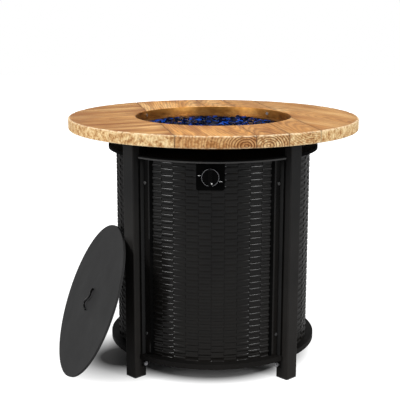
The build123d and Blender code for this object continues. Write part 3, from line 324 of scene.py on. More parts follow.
def heat_tint_and_flame_glow():
    """Steel of the fire bowl, browned by the fire, with straw and bronze bands that are partly painted glow
    of the flame, and soot low down.
    """
    m = Mat("bowl_heat_tint", 0.34, 0.85)
    # Painted light: the amber bands also stand in for the warm glow of the flame on the bowl's wall
    bands = m.noise(1, 4, vector=m.stretch((26, 26, 60)))
    tone = m.ramp(bands, [(0.25, (0.18, 0.065, 0.012)), (0.45, (0.42, 0.18, 0.034)),
                          (0.6, (0.54, 0.265, 0.065)), (0.8, (0.27, 0.105, 0.022))])
    low = m.invert(m.rise(m.axis(2), TOP_LOW, 0.03))
    tone = m.mix(m.times(low, m.patches(60, 5, 0.3, 0.7, weak=0.45)), tone, (0.050, 0.021, 0.008))
    scratch = m.noise(300, 3, vector=m.stretch((1, 1, 12)))
    shine = m.plus(m.times(scratch, 0.25), 0.25)
    return m.done(tone, shine, m.bump(scratch, 0.1, 0.0002))


def blue_glass():
    """Deep blue fire glass: dark bodies, bright facets, a few sooted chips."""
    m = Mat("blue_fire_glass", 0.12, spec=0.03)
    tone = m.ramp(m.attribute("chip"), [(0.0, (0.0015, 0.0015, 0.004)), (0.52, (0.002, 0.004, 0.02)),
                                        (0.78, (0.004, 0.026, 0.17)), (1.0, (0.012, 0.10, 0.62))])
    cloud = m.noise(300, 3)
    tone = m.mix(m.ramp(cloud, [(0.4, 0.0), (0.7, 0.6)]), tone, (0.002, 0.004, 0.02))
    shine = m.plus(m.times(cloud, 0.18), 0.05)
    return m.done(tone, shine, m.bump(m.noise(520, 2), 0.2, 0.0004))


# Wood

RING_WIDTH = 0.0050
RING_WAVER = 0.009


def wood_face(m, spot, fibre):
    """Colour of the upper face: patches, broad bands, streaks and fibres along each board."""
    grain = m.attribute("grain")
    patch = m.noise(1, 4, vector=m.stretch((4, 14, 14), spot))
    broad = m.noise(1, 3, 0.6, vector=m.stretch((2.4, 19, 19), spot))
    streak = m.noise(1, 3, 0.6, vector=m.stretch((5, 60, 60), spot))
    base = m.ramp(patch, [(0.30, (0.46, 0.20, 0.05)), (0.45, (0.66, 0.34, 0.11)),
                          (0.6, (0.80, 0.47, 0.18)), (0.78, (0.64, 0.34, 0.11))])
    base = m.mix(m.times(m.attribute("board"), 0.6), base, (0.98, 0.44, 0.10))
    base = m.mix(m.times(grain, m.ramp(broad, [(0.46, 0.0), (0.62, 0.8)])), base, (0.33, 0.115, 0.026))
    base = m.mix(m.ramp(broad, [(0.34, 0.5), (0.46, 0.0)]), base, (0.92, 0.62, 0.29))
    base = m.mix(m.times(grain, m.ramp(streak, [(0.46, 0.0), (0.64, 0.7)])), base, (0.30, 0.105, 0.024))
    return m.mix(m.ramp(fibre, [(0.48, 0.0), (0.72, 0.45)]), base, (0.28, 0.10, 0.026))


def wood_edge(m):
    """Colour of the rim: a mottle, pale on most boards and brown on the one in front, which is partly its own
    tone and partly painted shade between the two side lamps.
    """
    mottle = m.plus(m.times(m.noise(75, 3), 0.6), m.times(m.noise(210, 3), 0.4))
    pale = m.ramp(mottle, [(0.38, (0.28, 0.135, 0.045)), (0.47, (0.56, 0.36, 0.16)),
                           (0.58, (0.80, 0.64, 0.36))])
    warm = m.ramp(mottle, [(0.36, (0.17, 0.062, 0.016)), (0.48, (0.34, 0.152, 0.050)),
                           (0.60, (0.52, 0.30, 0.12))])
    return m.mix(m.attribute("brown"), pale, warm)


def wood():
    """Wood look with growth rings. The attribute "wood" holds (along, across, ring radius), in metres."""
    m = Mat("wood_look", 0.5, spec=0.12)
    spot = m.attribute("wood", "Vector")
    side = m.attribute("side")
    fibre = m.noise(1, 5, 0.65, vector=m.stretch((16, 420, 420), spot))
    waver = m.noise(1, 4, vector=m.stretch((7, 60, 60), spot))
    radius = m.plus(m.axis(2, spot), m.times(waver, RING_WAVER))
    phase = m.math("FRACT", m.math("DIVIDE", radius, RING_WIDTH))
    ring = m.ramp(phase, [(0.0, 0.0), (0.38, 0.05), (0.66, 1.0), (0.90, 1.0), (1.0, 0.0)])
    base = m.mix(m.times(side, 0.92), wood_face(m, spot, fibre), wood_edge(m))
    on_side = m.times(side, m.attribute("rings"))
    on_face = m.times(m.invert(side), m.patches(9, 3, 0.35, 0.62, 0.15, 0.48))
    base = m.mix(m.times(ring, m.plus(on_side, on_face), clamp=True), base, (0.115, 0.036, 0.008))
    burn = m.times(m.invert(m.times(side, 0.7)), m.attribute("burn"))
    base = m.mix(m.times(burn, m.patches(16, 4, 0.3, 0.7, 0.35, 0.9)), base, (0.24, 0.085, 0.022))
    rubbed = m.times(m.attribute("corner"), m.patches(120, 4, 0.35, 0.6, weak=0.1), clamp=True)
    base = m.mix(rubbed, base, (0.80, 0.64, 0.42))
    specks = m.times(m.patches(170, 3, 0.66, 0.72, strong=0.9), m.plus(0.3, m.times(side, 0.7)))
    base = m.mix(specks, base, (0.12, 0.05, 0.02))
    base = m.mix(m.attribute("dark"), base, (0.04, 0.017, 0.009))
    height = m.math("SUBTRACT", m.times(fibre, 0.5), m.times(ring, 0.5))
    shine = m.plus(0.44, m.times(fibre, 0.2))
    return m.done(base, shine, m.bump(height, 0.6, 0.0008))


# Mesh helpers

LATTICE = 64


def add_mesh(name, points, faces, material, body, smooth=True, attributes=None):
    """A piece from points and faces, with one material and any point attributes, on a body."""
    mesh = bpy.data.meshes.new(name)
    mesh.from_pydata([tuple(point) for point in points], [], faces)
    mesh.update()
    for key, (kind, values) in (attributes or {}).items():
        item = mesh.attributes.new(key, kind, "POINT")
        field = "vector" if kind == "FLOAT_VECTOR" else "value"
        item.data.foreach_set(field, np.asarray(values, np.float32).ravel())
    if smooth:
        mesh.shade_smooth()
    else:
        mesh.shade_flat()
    mesh.materials.append(material)
    piece = bpy.data.objects.new(name, mesh)
    scene.collection.objects.link(piece)
    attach(piece, body)
    return piece


def bevelled(name, size, matrix, material, body, bevel, sides=0):
    """A small rounded plate, or a round dot when sides is given."""
    bm = bmesh.new()
    if sides:
        radius, _, depth = size
        bmesh.ops.create_cone(bm, cap_ends=True, segments=sides, radius1=radius, radius2=radius, depth=depth)
    else:
        bmesh.ops.create_cube(bm, size=1)
        bmesh.ops.scale(bm, vec=size, verts=bm.verts)
    bmesh.ops.bevel(bm, geom=list(bm.edges), offset=bevel, segments=2, affect="EDGES", profile=0.5)
    bm.transform(matrix)
    mesh = bpy.data.meshes.new(name)
    bm.to_mesh(mesh)
    bm.free()
    mesh.materials.append(material)
    piece = bpy.data.objects.new(name, mesh)
    scene.collection.objects.link(piece)
    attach(piece, body)


def grid_faces(rows, columns, closed_rows=False, closed_columns=False, start=0):
    """Quads of a grid stored row by row."""
    faces = []
    for i in range(rows if closed_rows else rows - 1):
        for j in range(columns if closed_columns else columns - 1):
            a = start + i * columns + j
            b = start + i * columns + (j + 1) % columns
            c = start + ((i + 1) % rows) * columns + (j + 1) % columns
            d = start + ((i + 1) % rows) * columns + j
            faces.append((a, b, c, d))
    return faces


def smooth_noise(x, y, seed, scale):
    """Cheap value noise from a fixed lattice, for shapes, between -0.5 and 0.5."""
    table = np.random.default_rng(seed).random((LATTICE, LATTICE))
    u, v = np.asarray(x) / scale, np.asarray(y) / scale
    i, j = np.floor(u).astype(int), np.floor(v).astype(int)
    fu, fv = u - i, v - j
    fu, fv = fu * fu * (3 - 2 * fu), fv * fv * (3 - 2 * fv)
    i, j, i_next, j_next = i % LATTICE, j % LATTICE, (i + 1) % LATTICE, (j + 1) % LATTICE
    a = table[i, j] * (1 - fu) + table[i_next, j] * fu
    b = table[i, j_next] * (1 - fu) + table[i_next, j_next] * fu
    return a * (1 - fv) + b * fv - 0.5


def rise(value, start, length):
    """0 at the start and 1 a length beyond it, straight between. A negative length goes downward."""
    return np.clip((value - start) / length, 0, 1)


def near(gap, reach):
    """1 where there is no gap, falling to 0 where it is as long as the reach."""
    return np.clip(1 - gap / reach, 0, 1)


def bell(gap, width):
    return np.exp(-(gap / width) ** 2)


# Tabletop

BOARD_DIR = Vector((-0.215, 0.977, 0)).normalized()
SEAMS = (-0.161, 0.0217, 0.1036, 0.192)
AROUND = 1400
OUTER = 0.3
PIT_UNIT = 0.0016
SEAM_DEPTH, PIT_DEPTH, CHIP_DEPTH, RIM_RELIEF = 0.0011, 0.0016, 0.0016, 0.0004

# Pits in the rim, as azimuth in degrees and size in pit units
PITS = ((-5.4, 1.6), (0.0, 1.2), (15.0, 2.2), (-12.2, 1.6), (-33, 1.4), (29, 1.2), (-61, 1.6), (52, 1.5),
        (7, 1.0))

# Each board's heart line is placed across the top, above or below its face, turned and tipped. Then
# come how orange the face is, how brown the rim is, and how strong the streaks and the rings are.
# The brown rim of the front board is partly its own tone and partly painted shade between the two side lamps
Board = namedtuple("Board", "heart depth turn tip orange brown grain rings")
BOARDS = (Board(-0.235, 0.030, 1.25, -0.05, 0.10, 0.12, 1.00, 0.25),
          Board(0.0060, -0.020, 0.02, 0.10, 0.80, 0.85, 0.85, 1.00),
          Board(0.0735, -0.027, 0.06, -0.09, 0.55, 0.20, 0.75, 0.90),
          Board(0.150, 0.030, -0.10, 0.10, 0.20, 0.12, 0.45, 0.45),
          Board(0.245, -0.012, -0.35, 0.13, 0.10, 0.00, 0.40, 0.30))


def top_profile():
    """Section of the ring: across the top, over the rim, back under it and up the hole."""
    section = [(radius, TOP_Z) for radius in np.linspace(HOLE + 0.0012, TOP_RADIUS - 0.0040, 92)]
    section += [(TOP_RADIUS - 0.0024, TOP_Z - 0.0002), (TOP_RADIUS - 0.0011, TOP_Z - 0.0009)]
    section += [(TOP_RADIUS - 0.0003, TOP_Z - 0.0020)]
    section += [(RIM, level) for level in np.linspace(TOP_Z - 0.0034, TOP_LOW + 0.003, 16)]
    section += [(TOP_RADIUS - 0.0004, TOP_LOW + 0.0014), (TOP_RADIUS - 0.0014, TOP_LOW + 0.0004)]
    section += [(TOP_RADIUS - 0.003, TOP_LOW)]
    section += [(radius, TOP_LOW) for radius in (0.34, 0.29, 0.25, HOLE + 0.0016)]
    section += [(HOLE, TOP_LOW + 0.0015)]
    section += [(HOLE, level) for level in np.linspace(TOP_LOW + 0.006, TOP_Z - 0.0015, 5)]
    section += [(HOLE + 0.0004, TOP_Z - 0.0005)]
    return np.array(section)


def find_boards(along, across):
    """The number of the board at each point, and the distance to the nearest seam."""
    index = np.zeros_like(across, int)
    seam_gap = np.full_like(across, 1.0)
    for seam in SEAMS:
        wander = 0.0012 * smooth_noise(along, along * 0 + seam, 5, 0.03)
        index += across + wander > seam
        seam_gap = np.minimum(seam_gap, np.abs(across + wander - seam))
    return index, seam_gap


def of_board(index, quality):
    """A quality of the boards, at each point."""
    return np.array([getattr(board, quality) for board in BOARDS])[index]


def ring_space(index, along, across, level):
    """At each point the way along its board, across it, and from its heart line."""
    found = np.zeros((*across.shape, 3))
    for number, board in enumerate(BOARDS):
        c, s = math.cos(board.turn), math.sin(board.turn)
        lengthwise = along * c + (across - board.heart) * s
        sideways = (across - board.heart) * c - along * s
        height = level - TOP_Z - board.depth - board.tip * (lengthwise + 0.35)
        spot = np.stack([lengthwise, sideways * 0.7 + number, np.hypot(0.72 * sideways, height)], -1)
        mask = index == number
        found[mask] = spot[mask]
    return found


def find_pits(radius, angle, level):
    """How far each point lies in a pit: the listed ones, 46 more in the rim and 26 on the upper face."""
    x, y = radius * np.sin(angle), -radius * np.cos(angle)
    degrees = np.degrees((angle + np.pi) % (2 * np.pi) - np.pi)
    pit = np.zeros_like(radius)
    rng = np.random.default_rng(3)
    spots = list(PITS) + [(rng.uniform(-180, 180), rng.uniform(0.7, 1.5)) for _ in range(46)]
    for place, size in spots:
        at_corner = rng.random() < 0.6
        height = TOP_Z - 0.001 if at_corner else rng.uniform(TOP_LOW + 0.004, TOP_Z - 0.004)
        gap = np.hypot(np.radians((degrees - place + 180) % 360 - 180) * radius * 0.8, level - height)
        gap = np.hypot(gap, (radius - RIM) * 0.6)
        pit = np.maximum(pit, near(gap, size * PIT_UNIT) * (radius > OUTER))
    for _ in range(26):
        a, r = rng.uniform(-np.pi, np.pi), rng.uniform(0.225, 0.37)
        gap = np.hypot(x - r * math.sin(a), (y + r * math.cos(a)) * 0.7)
        pit = np.maximum(pit, 0.8 * near(gap, rng.uniform(0.0015, 0.003)) * (level > TOP_Z - 0.001))
    return pit


def make_tabletop():
    """One ring of five boards, with seams, pits and worn corners in its surface."""
    profile = top_profile()
    turns = np.linspace(0, 2 * np.pi, AROUND, endpoint=False)
    radius, angle = np.meshgrid(profile[:, 0], turns)
    level = np.meshgrid(profile[:, 1], turns)[0]
    x, y = radius * np.sin(angle), -radius * np.cos(angle)
    across = x * BOARD_DIR.y - y * BOARD_DIR.x
    along = x * BOARD_DIR.x + y * BOARD_DIR.y
    index, seam_gap = find_boards(along, across)

    side = rise(radius, TOP_RADIUS - 0.003, 0.0022) * rise(level, TOP_Z + 0.0006, -0.0016)
    side = np.maximum(side, (level < TOP_LOW + 0.004) * 1.0)
    edge = TOP_RADIUS - 0.002
    corner = bell(radius - edge, 0.0026) * bell(TOP_Z - level, 0.0028) * (radius > OUTER)
    corner += 0.8 * bell(level - TOP_LOW, 0.0022) * (radius > edge)
    shown = (level > TOP_LOW + 0.001) & (radius > HOLE + 0.002)
    groove = near(seam_gap, 0.0024) * shown
    pit = find_pits(radius, angle, level)
    chip = np.clip(smooth_noise(angle * RIM, level * 0.6, 9, 0.011) * 2 - 0.12, 0, 1) * corner

    sink = SEAM_DEPTH * groove + PIT_DEPTH * pit + CHIP_DEPTH * chip
    sink += RIM_RELIEF * side * (smooth_noise(angle * RIM, level, 4, 0.006) + 0.5) * (radius > 0.37)
    worn_radius = radius - sink * (radius > TOP_RADIUS - 0.0035)
    worn_level = level - sink * (level > TOP_Z - 0.003) * shown
    x, y = worn_radius * np.sin(angle), -worn_radius * np.cos(angle)
    points = np.stack([x + AXIS_X, y, worn_level], -1).reshape(-1, 3)

    burn = rise(radius, TOP_RADIUS - 0.029, 0.03) * (0.40 + 0.60 * rise(y, -0.17, 0.2))
    burn = np.maximum(burn, 0.75 * rise(across, -0.20, -0.16))
    burn += 0.5 * near(seam_gap, 0.016)
    dark = np.clip(groove * 1.1 - 0.25, 0, 0.75) + np.clip(pit * 1.7 - 0.3, 0, 0.9)
    near_heart = bell(across - of_board(index, "heart"), 0.06)
    values = {"board": of_board(index, "orange"), "side": side, "corner": np.clip(corner, 0, 1),
              "dark": np.clip(dark, 0, 1), "burn": np.clip(burn, 0, 1), "brown": of_board(index, "brown"),
              "rings": of_board(index, "rings") * (0.35 + 0.65 * near_heart),
              "grain": of_board(index, "grain")}
    attributes = {name: ("FLOAT", value) for name, value in values.items()}
    attributes["wood"] = ("FLOAT_VECTOR", ring_space(index, along, across, level))
    faces = grid_faces(AROUND, len(profile), True, True)
    top = add_mesh("tabletop_boards", points, faces, wood(), "frame", attributes=attributes)
    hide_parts("tabletop")


make_tabletop()


# Woven panels

WALL_R, FLANGE_R, LIP_R, SHEET = 0.2573, 0.2640, 0.2752, 0.0012
LIP_OFFSET = 0.024
WEAVE_EDGE = math.radians(36)
STEP_ANGLE = WEAVE_EDGE - SHEET / WALL_R
COLUMN = math.radians(7.2)
COLUMNS = range(-5, 5)
ROW = 0.00815
RELIEF = 0.0021
STRAND_GAP = math.radians(0.06)
BORDER = 0.0045
# Painted shade: the side steps get a darker, duller paint than the sheet, standing in for the shade in the
# gap beside the legs
STEP_SHADE_PAINT = powder_coat("step_shade_paint", grey(0.0015), grey(0.003), 0.7, 0.01)
LIP_PAINT = powder_coat("lip_paint", grey(0.008), grey(0.012), 0.5, 0.12)
# Painted highlight: the plain upper border is painted several times lighter than the sheet, standing in for
# light caught along that edge
BORDER_HIGHLIGHT_PAINT = powder_coat("border_highlight_paint", grey(0.030), grey(0.040), 0.5, 0.12)
STEP_SHADE_MARK, LIP_MARK, BORDER_HIGHLIGHT_MARK = 1, 2, 3
WOVEN_FRONT = woven_paint("woven_front_paint", 0.14, 0.13)
WOVEN_SIDE = woven_paint("woven_side_paint", 0.05, 0.3)
WOVEN_LEFT = woven_paint("woven_left_paint", 0.02, 0.45)
PANELS = (("woven_front", "front_panel", 0, "frame", WOVEN_FRONT),
          ("woven_right", "right_panel", 90, "frame", WOVEN_SIDE),
          ("woven_left", "left_panel", 270, "frame", WOVEN_LEFT),
          ("woven_door", "rear_door", 180, "door", WOVEN_SIDE))


def weave_depth(angle, height):
    """How far the surface lies behind the tops of the strands."""
    row = np.floor(height / ROW)
    across = height / ROW - row
    rounded = np.sqrt(np.clip(1 - (2 * across - 1) ** 2, 0, 1))
    over = (np.floor(angle / COLUMN) + row) % 2
    stake = np.abs(np.sin(np.pi * angle / COLUMN)) ** 0.3
    top = over * (0.30 + 0.70 * rounded) + 0.12 * (1 - over) * rounded
    return RELIEF * (1 - top * (0.97 + 0.03 * stake))


def lip_point(radius, offset, sign):
    """A point of the section at an offset from the middle plane of the leg, which a lip runs along."""
    return radius, sign * (math.pi / 4 - math.asin(offset / radius)), 0


def panel_section():
    """Closed section as (radius, angle, woven): the outside first, then the inside in reverse."""
    inner = np.linspace(STRAND_GAP, COLUMN - STRAND_GAP, 7)
    weave = np.concatenate([COLUMN * column + inner for column in COLUMNS])
    weave = weave[np.abs(weave) < STEP_ANGLE]
    flange_end = math.pi / 4 - math.asin((LIP_OFFSET + SHEET / 2) / FLANGE_R)
    flange_middle = (STEP_ANGLE + flange_end) / 2
    front = [(WALL_R, angle, 1) for angle in weave]
    back = [(WALL_R - SHEET, angle, 1) for angle in weave]
    for sign in (1, -1):
        outside = [(FLANGE_R, sign * STEP_ANGLE, 0), (FLANGE_R, sign * flange_middle, 0)]
        outside += [lip_point(radius, LIP_OFFSET + SHEET, sign) for radius in (FLANGE_R, LIP_R)]
        inside = [(FLANGE_R - SHEET, sign * WEAVE_EDGE, 0), (FLANGE_R - SHEET, sign * flange_middle, 0)]
        inside += [lip_point(radius, LIP_OFFSET, sign) for radius in (FLANGE_R - SHEET, LIP_R)]
        if sign > 0:
            front, back = front + outside, back + inside
        else:
            front, back = outside[::-1] + front, inside[::-1] + back
    return np.array(front + back[::-1], float)


def mark_panel(piece, section, rows):
    """Paints for the steps (painted shade), lips and upper border (painted highlight), and crisp ends on the
    strands.
    """
    for paint in (STEP_SHADE_PAINT, LIP_PAINT, BORDER_HIGHLIGHT_PAINT):
        piece.data.materials.append(paint)
    following = np.roll(section, -1, axis=0)
    run = np.abs(following[:, 0] - section[:, 0])
    inside_lip = np.maximum(section[:, 0], following[:, 0]) < LIP_R - 0.001
    kind = np.where(run > 0.008, LIP_MARK, np.where((run > 0.004) & inside_lip, STEP_SHADE_MARK, 0))
    woven = (section[:, 2] == 1) & (following[:, 2] == 1)
    strand_end = woven & (np.abs(following[:, 1] - section[:, 1]) < 3 * STRAND_GAP)
    count = len(section)
    marks = np.zeros(len(piece.data.polygons), np.int32)
    marks[:rows * count] = np.tile(kind, rows)
    marks[(rows - 1) * count:rows * count] = BORDER_HIGHLIGHT_MARK
    piece.data.polygons.foreach_set("material_index", marks)
    smooth = np.ones(len(marks), bool)
    smooth[:rows * count] = np.tile(~strand_end, rows)
    piece.data.polygons.foreach_set("use_smooth", smooth)
    crisp = piece.modifiers.new("crisp", "EDGE_SPLIT")
    crisp.split_angle = math.radians(50)


def panel(name, node, azimuth, body, material):
    """A quarter of the drum: woven sheet, side steps, flanges and lips, as one closed skin."""
    low, high = (corner.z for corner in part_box(node))
    section = panel_section()
    woven_levels = np.arange(low + 0.0016, high - BORDER - 0.0004, ROW / 7)
    levels = np.concatenate([[low], woven_levels, [high - BORDER, high]])
    radius, level = np.meshgrid(section[:, 0], levels)
    angle = np.meshgrid(section[:, 1], levels)[0]
    woven = np.meshgrid(section[:, 2], levels)[0]
    fade = rise(np.abs(angle), STEP_ANGLE, -0.008) * rise(level, low, 0.002)
    fade *= rise(level, high - BORDER, -0.0012)
    depth = weave_depth(angle, level - low) * woven * fade
    if node == "front_panel":
        beside = rise(np.abs(WALL_R * np.sin(angle) - PLATE_X), PLATE_HALF, 0.002)
        depth *= np.maximum(beside, rise(np.abs(level - PLATE_Z), PLATE_HALF, 0.002))
    radius = radius - depth
    turned = angle + math.radians(azimuth)
    points = np.stack([radius * np.sin(turned) + AXIS_X, -radius * np.cos(turned), level], -1).reshape(-1, 3)
    rows, count = len(levels) - 1, len(section)
    faces = grid_faces(len(levels), count, False, True)
    for base, flip in ((0, False), (rows * count, True)):
        for j in range(count // 2 - 1):
            quad = (base + j, base + count - 1 - j, base + count - 2 - j, base + j + 1)
            faces.append(quad[::-1] if flip else quad)
    piece = add_mesh(name, points, faces, material, body)
    mark_panel(piece, section, rows)
    return piece


for title, node, azimuth, body, paint in PANELS:
    skin = panel(title, node, azimuth, body, paint)
    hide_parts(node)


# Fire glass

BED_RADIUS = 0.1815
BED_DROP = 0.0095
BED_RINGS, BED_AROUND = 34, 120
CHIPS = 2300
CHIPS_RADIUS = BED_RADIUS - 0.004


def glass_chips():
    """Points, faces and shades of the loose chips, each a squeezed and turned block."""
    rng = np.random.default_rng(11)
    corners = np.array([(x, y, z) for x in (-1, 1) for y in (-1, 1) for z in (-1, 1)], float)
    quads = [(0, 1, 3, 2), (4, 6, 7, 5), (0, 4, 5, 1), (2, 3, 7, 6), (0, 2, 6, 4), (1, 5, 7, 3)]
    points, faces, shades = [], [], []
    for _ in range(CHIPS):
        radius = CHIPS_RADIUS * math.sqrt(rng.random())
        angle = rng.uniform(0, 2 * math.pi)
        heap = 0.5 + 0.5 * math.sin(3 * angle + 1) * math.sin(radius * 40)
        size = rng.uniform(0.0030, 0.0065)
        level = GLASS_MAX.z - 0.0065 + 0.0035 * heap + rng.uniform(-0.004, 0.003)
        level = min(level, GLASS_MAX.z + 0.0075 - size)
        shape = corners * rng.uniform(0.55, 1.15, (8, 3)) * np.array((1.25, 0.95, 0.75)) * size
        spin = Matrix.Rotation(rng.uniform(0, 6.3), 3, "Z") @ Matrix.Rotation(rng.uniform(-0.7, 0.7), 3, "X")
        radius *= min(1.0, CHIPS_RADIUS / (radius + size))
        centre = np.array((AXIS_X + radius * math.sin(angle), -radius * math.cos(angle), level))
        base = len(points)
        points += list(shape @ np.array(spin).T + centre)
        faces += [tuple(base + corner for corner in quad) for quad in quads]
        shades += [rng.random() ** 1.6] * len(corners)
    return points, faces, shades


def glass_bed(start):
    """Points and faces of the uneven floor under the chips, closed below and numbered from the start."""
    bed_z = GLASS_MAX.z - BED_DROP
    points = []
    for radius in np.linspace(0.0005, BED_RADIUS, BED_RINGS):
        for step in range(BED_AROUND):
            a = 2 * math.pi * step / BED_AROUND
            x, y = radius * math.sin(a), radius * math.cos(a)
            points.append((AXIS_X + x, -y, bed_z + 0.004 * float(smooth_noise(x + 1, y + 1, 8, 0.012))))
    faces = grid_faces(BED_RINGS, BED_AROUND, False, True, start)
    under = start + len(points)
    points += [(x, y, GLASS_MIN.z) for x, y, _ in points[-BED_AROUND:]]
    faces += grid_faces(2, BED_AROUND, False, True, under - BED_AROUND)
    middle = start + len(points)
    points += [(AXIS_X, 0, GLASS_MIN.z), (AXIS_X, 0, bed_z)]
    for i in range(BED_AROUND):
        following = (i + 1) % BED_AROUND
        faces += [(under + i, under + following, middle), (start + following, start + i, middle + 1)]
    return points, faces


def make_glass():
    """A lumpy bed of broken glass chips, and a dark floor under them."""
    points, faces, shades = glass_chips()
    bed_points, bed_faces = glass_bed(len(points))
    shades += [0.05] * len(bed_points)
    piece = add_mesh("fire_glass_chips", points + bed_points, faces + bed_faces, blue_glass(), "frame", False,
                     {"chip": ("FLOAT", shades)})
    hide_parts("fire_glass")


make_glass()


# Small marks on the control, as offsets from the middle of the plate

MARK = mark_paint()
FACE = Matrix.Rotation(math.radians(90), 4, "X")
TICKS = ((-0.0269, 0.0023, 0.0062), (0.0247, -0.0123, 0.0078))
TICK_WIDTH, TICK_DEPTH = 0.0014, 0.0003
DOT_X, DOT_Z, DOT_RADIUS, DOT_DEPTH = 0.0037, -0.0126, 0.0017, 0.0005
for number, (dx, dz, length) in enumerate(TICKS):
    spot = Matrix.Translation((AXIS_X + PLATE_X + dx, PLATE_MIN.y - 0.00005, PLATE_Z + dz))
    bevelled(f"plate_tick_{number}", (length, TICK_WIDTH, TICK_DEPTH), spot @ FACE, MARK, "frame",
             0.0001)
spot = Matrix.Translation((AXIS_X + PLATE_X + DOT_X, KNOB_FRONT - 0.00002, PLATE_Z + DOT_Z))
bevelled("knob_dot", (DOT_RADIUS, DOT_RADIUS, DOT_DEPTH), spot @ FACE, MARK, "knob",
         0.00015, 24)


# Pivot ears of the rear door

EAR_RADIUS, EAR_BORE, EAR_HEIGHT, EAR_REACH = 0.0050, 0.00305, 0.014, 0.0066
EAR_ROUND = 0.0004
EAR_SIDES = 48
WEB_LAP = 0.0006


def make_ears():
    """A barrel round each pivot pin and the web that joins it to the door's flange."""
    pins_low, pins_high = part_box("door_pivot_pins")
    door_low, door_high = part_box("rear_door")
    pivot = (pins_low + pins_high) / 2
    middle = pivot - Vector((1, 1, 0)).normalized() * (EAR_REACH + EAR_BORE) / 2
    turn = Matrix.Rotation(math.radians(-45), 4, "Z")
    web = (2 * EAR_BORE, EAR_REACH - EAR_BORE + WEB_LAP, EAR_HEIGHT - 2 * EAR_ROUND)
    low_end = [(EAR_BORE, EAR_ROUND), (EAR_BORE + EAR_ROUND, 0),
               (EAR_RADIUS - EAR_ROUND, 0), (EAR_RADIUS, EAR_ROUND)]
    profile = low_end + [(radius, EAR_HEIGHT - level) for radius, level in low_end[::-1]]
    faces = grid_faces(EAR_SIDES, len(profile), True, True)
    for title, foot in (("door_ear_low", door_low.z), ("door_ear_high", door_high.z - EAR_HEIGHT)):
        points = []
        for step in range(EAR_SIDES):
            a = 2 * math.pi * step / EAR_SIDES
            points += [(pivot.x + radius * math.cos(a), pivot.y + radius * math.sin(a), foot + level)
                       for radius, level in profile]
        barrel = add_mesh(title, points, faces, WOVEN_SIDE, "door", False)
        spot = Matrix.Translation((middle.x, middle.y, foot + EAR_HEIGHT / 2)) @ turn
        bevelled(title + "_web", web, spot, WOVEN_SIDE, "door", 0.0003)


make_ears()


# Handle of the lid

HANDLE_HALF, HANDLE_ROD, HANDLE_WAVE, HANDLE_RISE = 0.0285, 0.0030, 0.0115, 0.0048
HANDLE_STEPS, HANDLE_SIDES = 72, 20
HANDLE_GAP = 0.0002
HANDLE = plastic("handle_plastic", grey(0.0025), 0.3, spec=0.15)
LID_RIM = 0.006
SEAT_SIZE = (0.0042, 0.0042, 0.0010)


def make_handle():
    """A round rod bent to a soft S that rises off the plate and comes down on it at both ends."""
    joints = frame["record"]["behaviour"]["joints"]
    out = Vector(next(j["axis"] for j in joints if j["name"] == "lid_lift_off")).normalized()
    uphill = (Vector((0, 0, 1)) - out * out.z).normalized()
    across = out.cross(uphill)
    plate_low, plate_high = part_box("lid_plate")
    centre = (plate_low + plate_high) / 2 + out * LID_RIM / 2

    def spot(t):
        """A point of the rod's middle line, from one end at -1 to the other at 1."""
        height = HANDLE_ROD + HANDLE_GAP + HANDLE_RISE * (1 - t ** 6)
        wave = HANDLE_WAVE * math.sin(math.pi * t)
        return centre + uphill * (HANDLE_HALF * t) - across * wave + out * height

    def ring(place, along, radius):
        """Points round a place on the middle line."""
        one = along.cross(out).normalized()
        two = along.cross(one).normalized()
        angles = [2 * math.pi * side / HANDLE_SIDES for side in range(HANDLE_SIDES)]
        return [place + (one * math.cos(a) + two * math.sin(a)) * radius for a in angles]

    stations = []
    for step in range(HANDLE_STEPS + 1):
        t = -1 + 2 * step / HANDLE_STEPS
        along = (spot(t + 0.01) - spot(t - 0.01)).normalized()
        stations.append((spot(t), along, HANDLE_ROD))
    first, last = stations[0], stations[-1]
    for cap in (0.35, 0.7, 0.93):
        radius = HANDLE_ROD * math.sqrt(1 - cap * cap)
        stations.insert(0, (first[0] - first[1] * HANDLE_ROD * cap, first[1], radius))
        stations.append((last[0] + last[1] * HANDLE_ROD * cap, last[1], radius))
    points = [point for station in stations for point in ring(*station)]
    faces = grid_faces(len(stations), HANDLE_SIDES, False, True)
    faces.append(tuple(range(HANDLE_SIDES))[::-1])
    faces.append(tuple(range(len(points) - HANDLE_SIDES, len(points))))
    rod = add_mesh("lid_handle_rod", points, faces, HANDLE, "lid")
    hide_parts("lid_handle")
    face = out.to_track_quat("Z", "Y").to_matrix().to_4x4()
    for number, t in enumerate((-1, 1)):
        seat = Matrix.Translation(centre + uphill * (HANDLE_HALF * t) + out * SEAT_SIZE[2] / 2)
        bevelled(f"lid_handle_seat_{number}", SEAT_SIZE, seat @ face, HANDLE, "lid", 0.0003, 32)


make_handle()


# Materials of the CAD nodes

COAT = powder_coat("leg_paint", (0.006, 0.006, 0.0062), (0.010, 0.0098, 0.0094), 0.48, 0.10, dust_and_light=0.12)
RIM_COAT = powder_coat("rim_paint", (0.0045, 0.0045, 0.0046), (0.0070, 0.0069, 0.0067), 0.52, 0.035,
                       dust_and_light=0.06)
GLOSS_COAT = powder_coat("control_plate_paint", grey(0.001), grey(0.0018), 0.45, 0.012, bump=0.1)
LID_COAT = powder_coat("lid_paint", (0.020, 0.020, 0.0202), (0.025, 0.025, 0.0253), 0.6, 0.06)
BRIGHT = brushed("zinc_plate", (0.62, 0.62, 0.64), 0.32, spots=0.3)
BURNER = brushed("burner_metal", (0.46, 0.42, 0.38), 0.38, spots=0.7)
BRASS = brushed("turned_brass", (0.68, 0.49, 0.22), 0.3, grain=(30, 1, 1))
TUBE = brushed("drawn_tube", (0.66, 0.66, 0.68), 0.28, grain=(4, 1, 4))
RING = brushed("knob_ring_metal", (0.42, 0.42, 0.44), 0.24)
KNOB = plastic("knob_plastic", grey(0.001), 0.3, spec=0.03)
FOOT = plastic("foot_plastic", grey(0.014), 0.6)
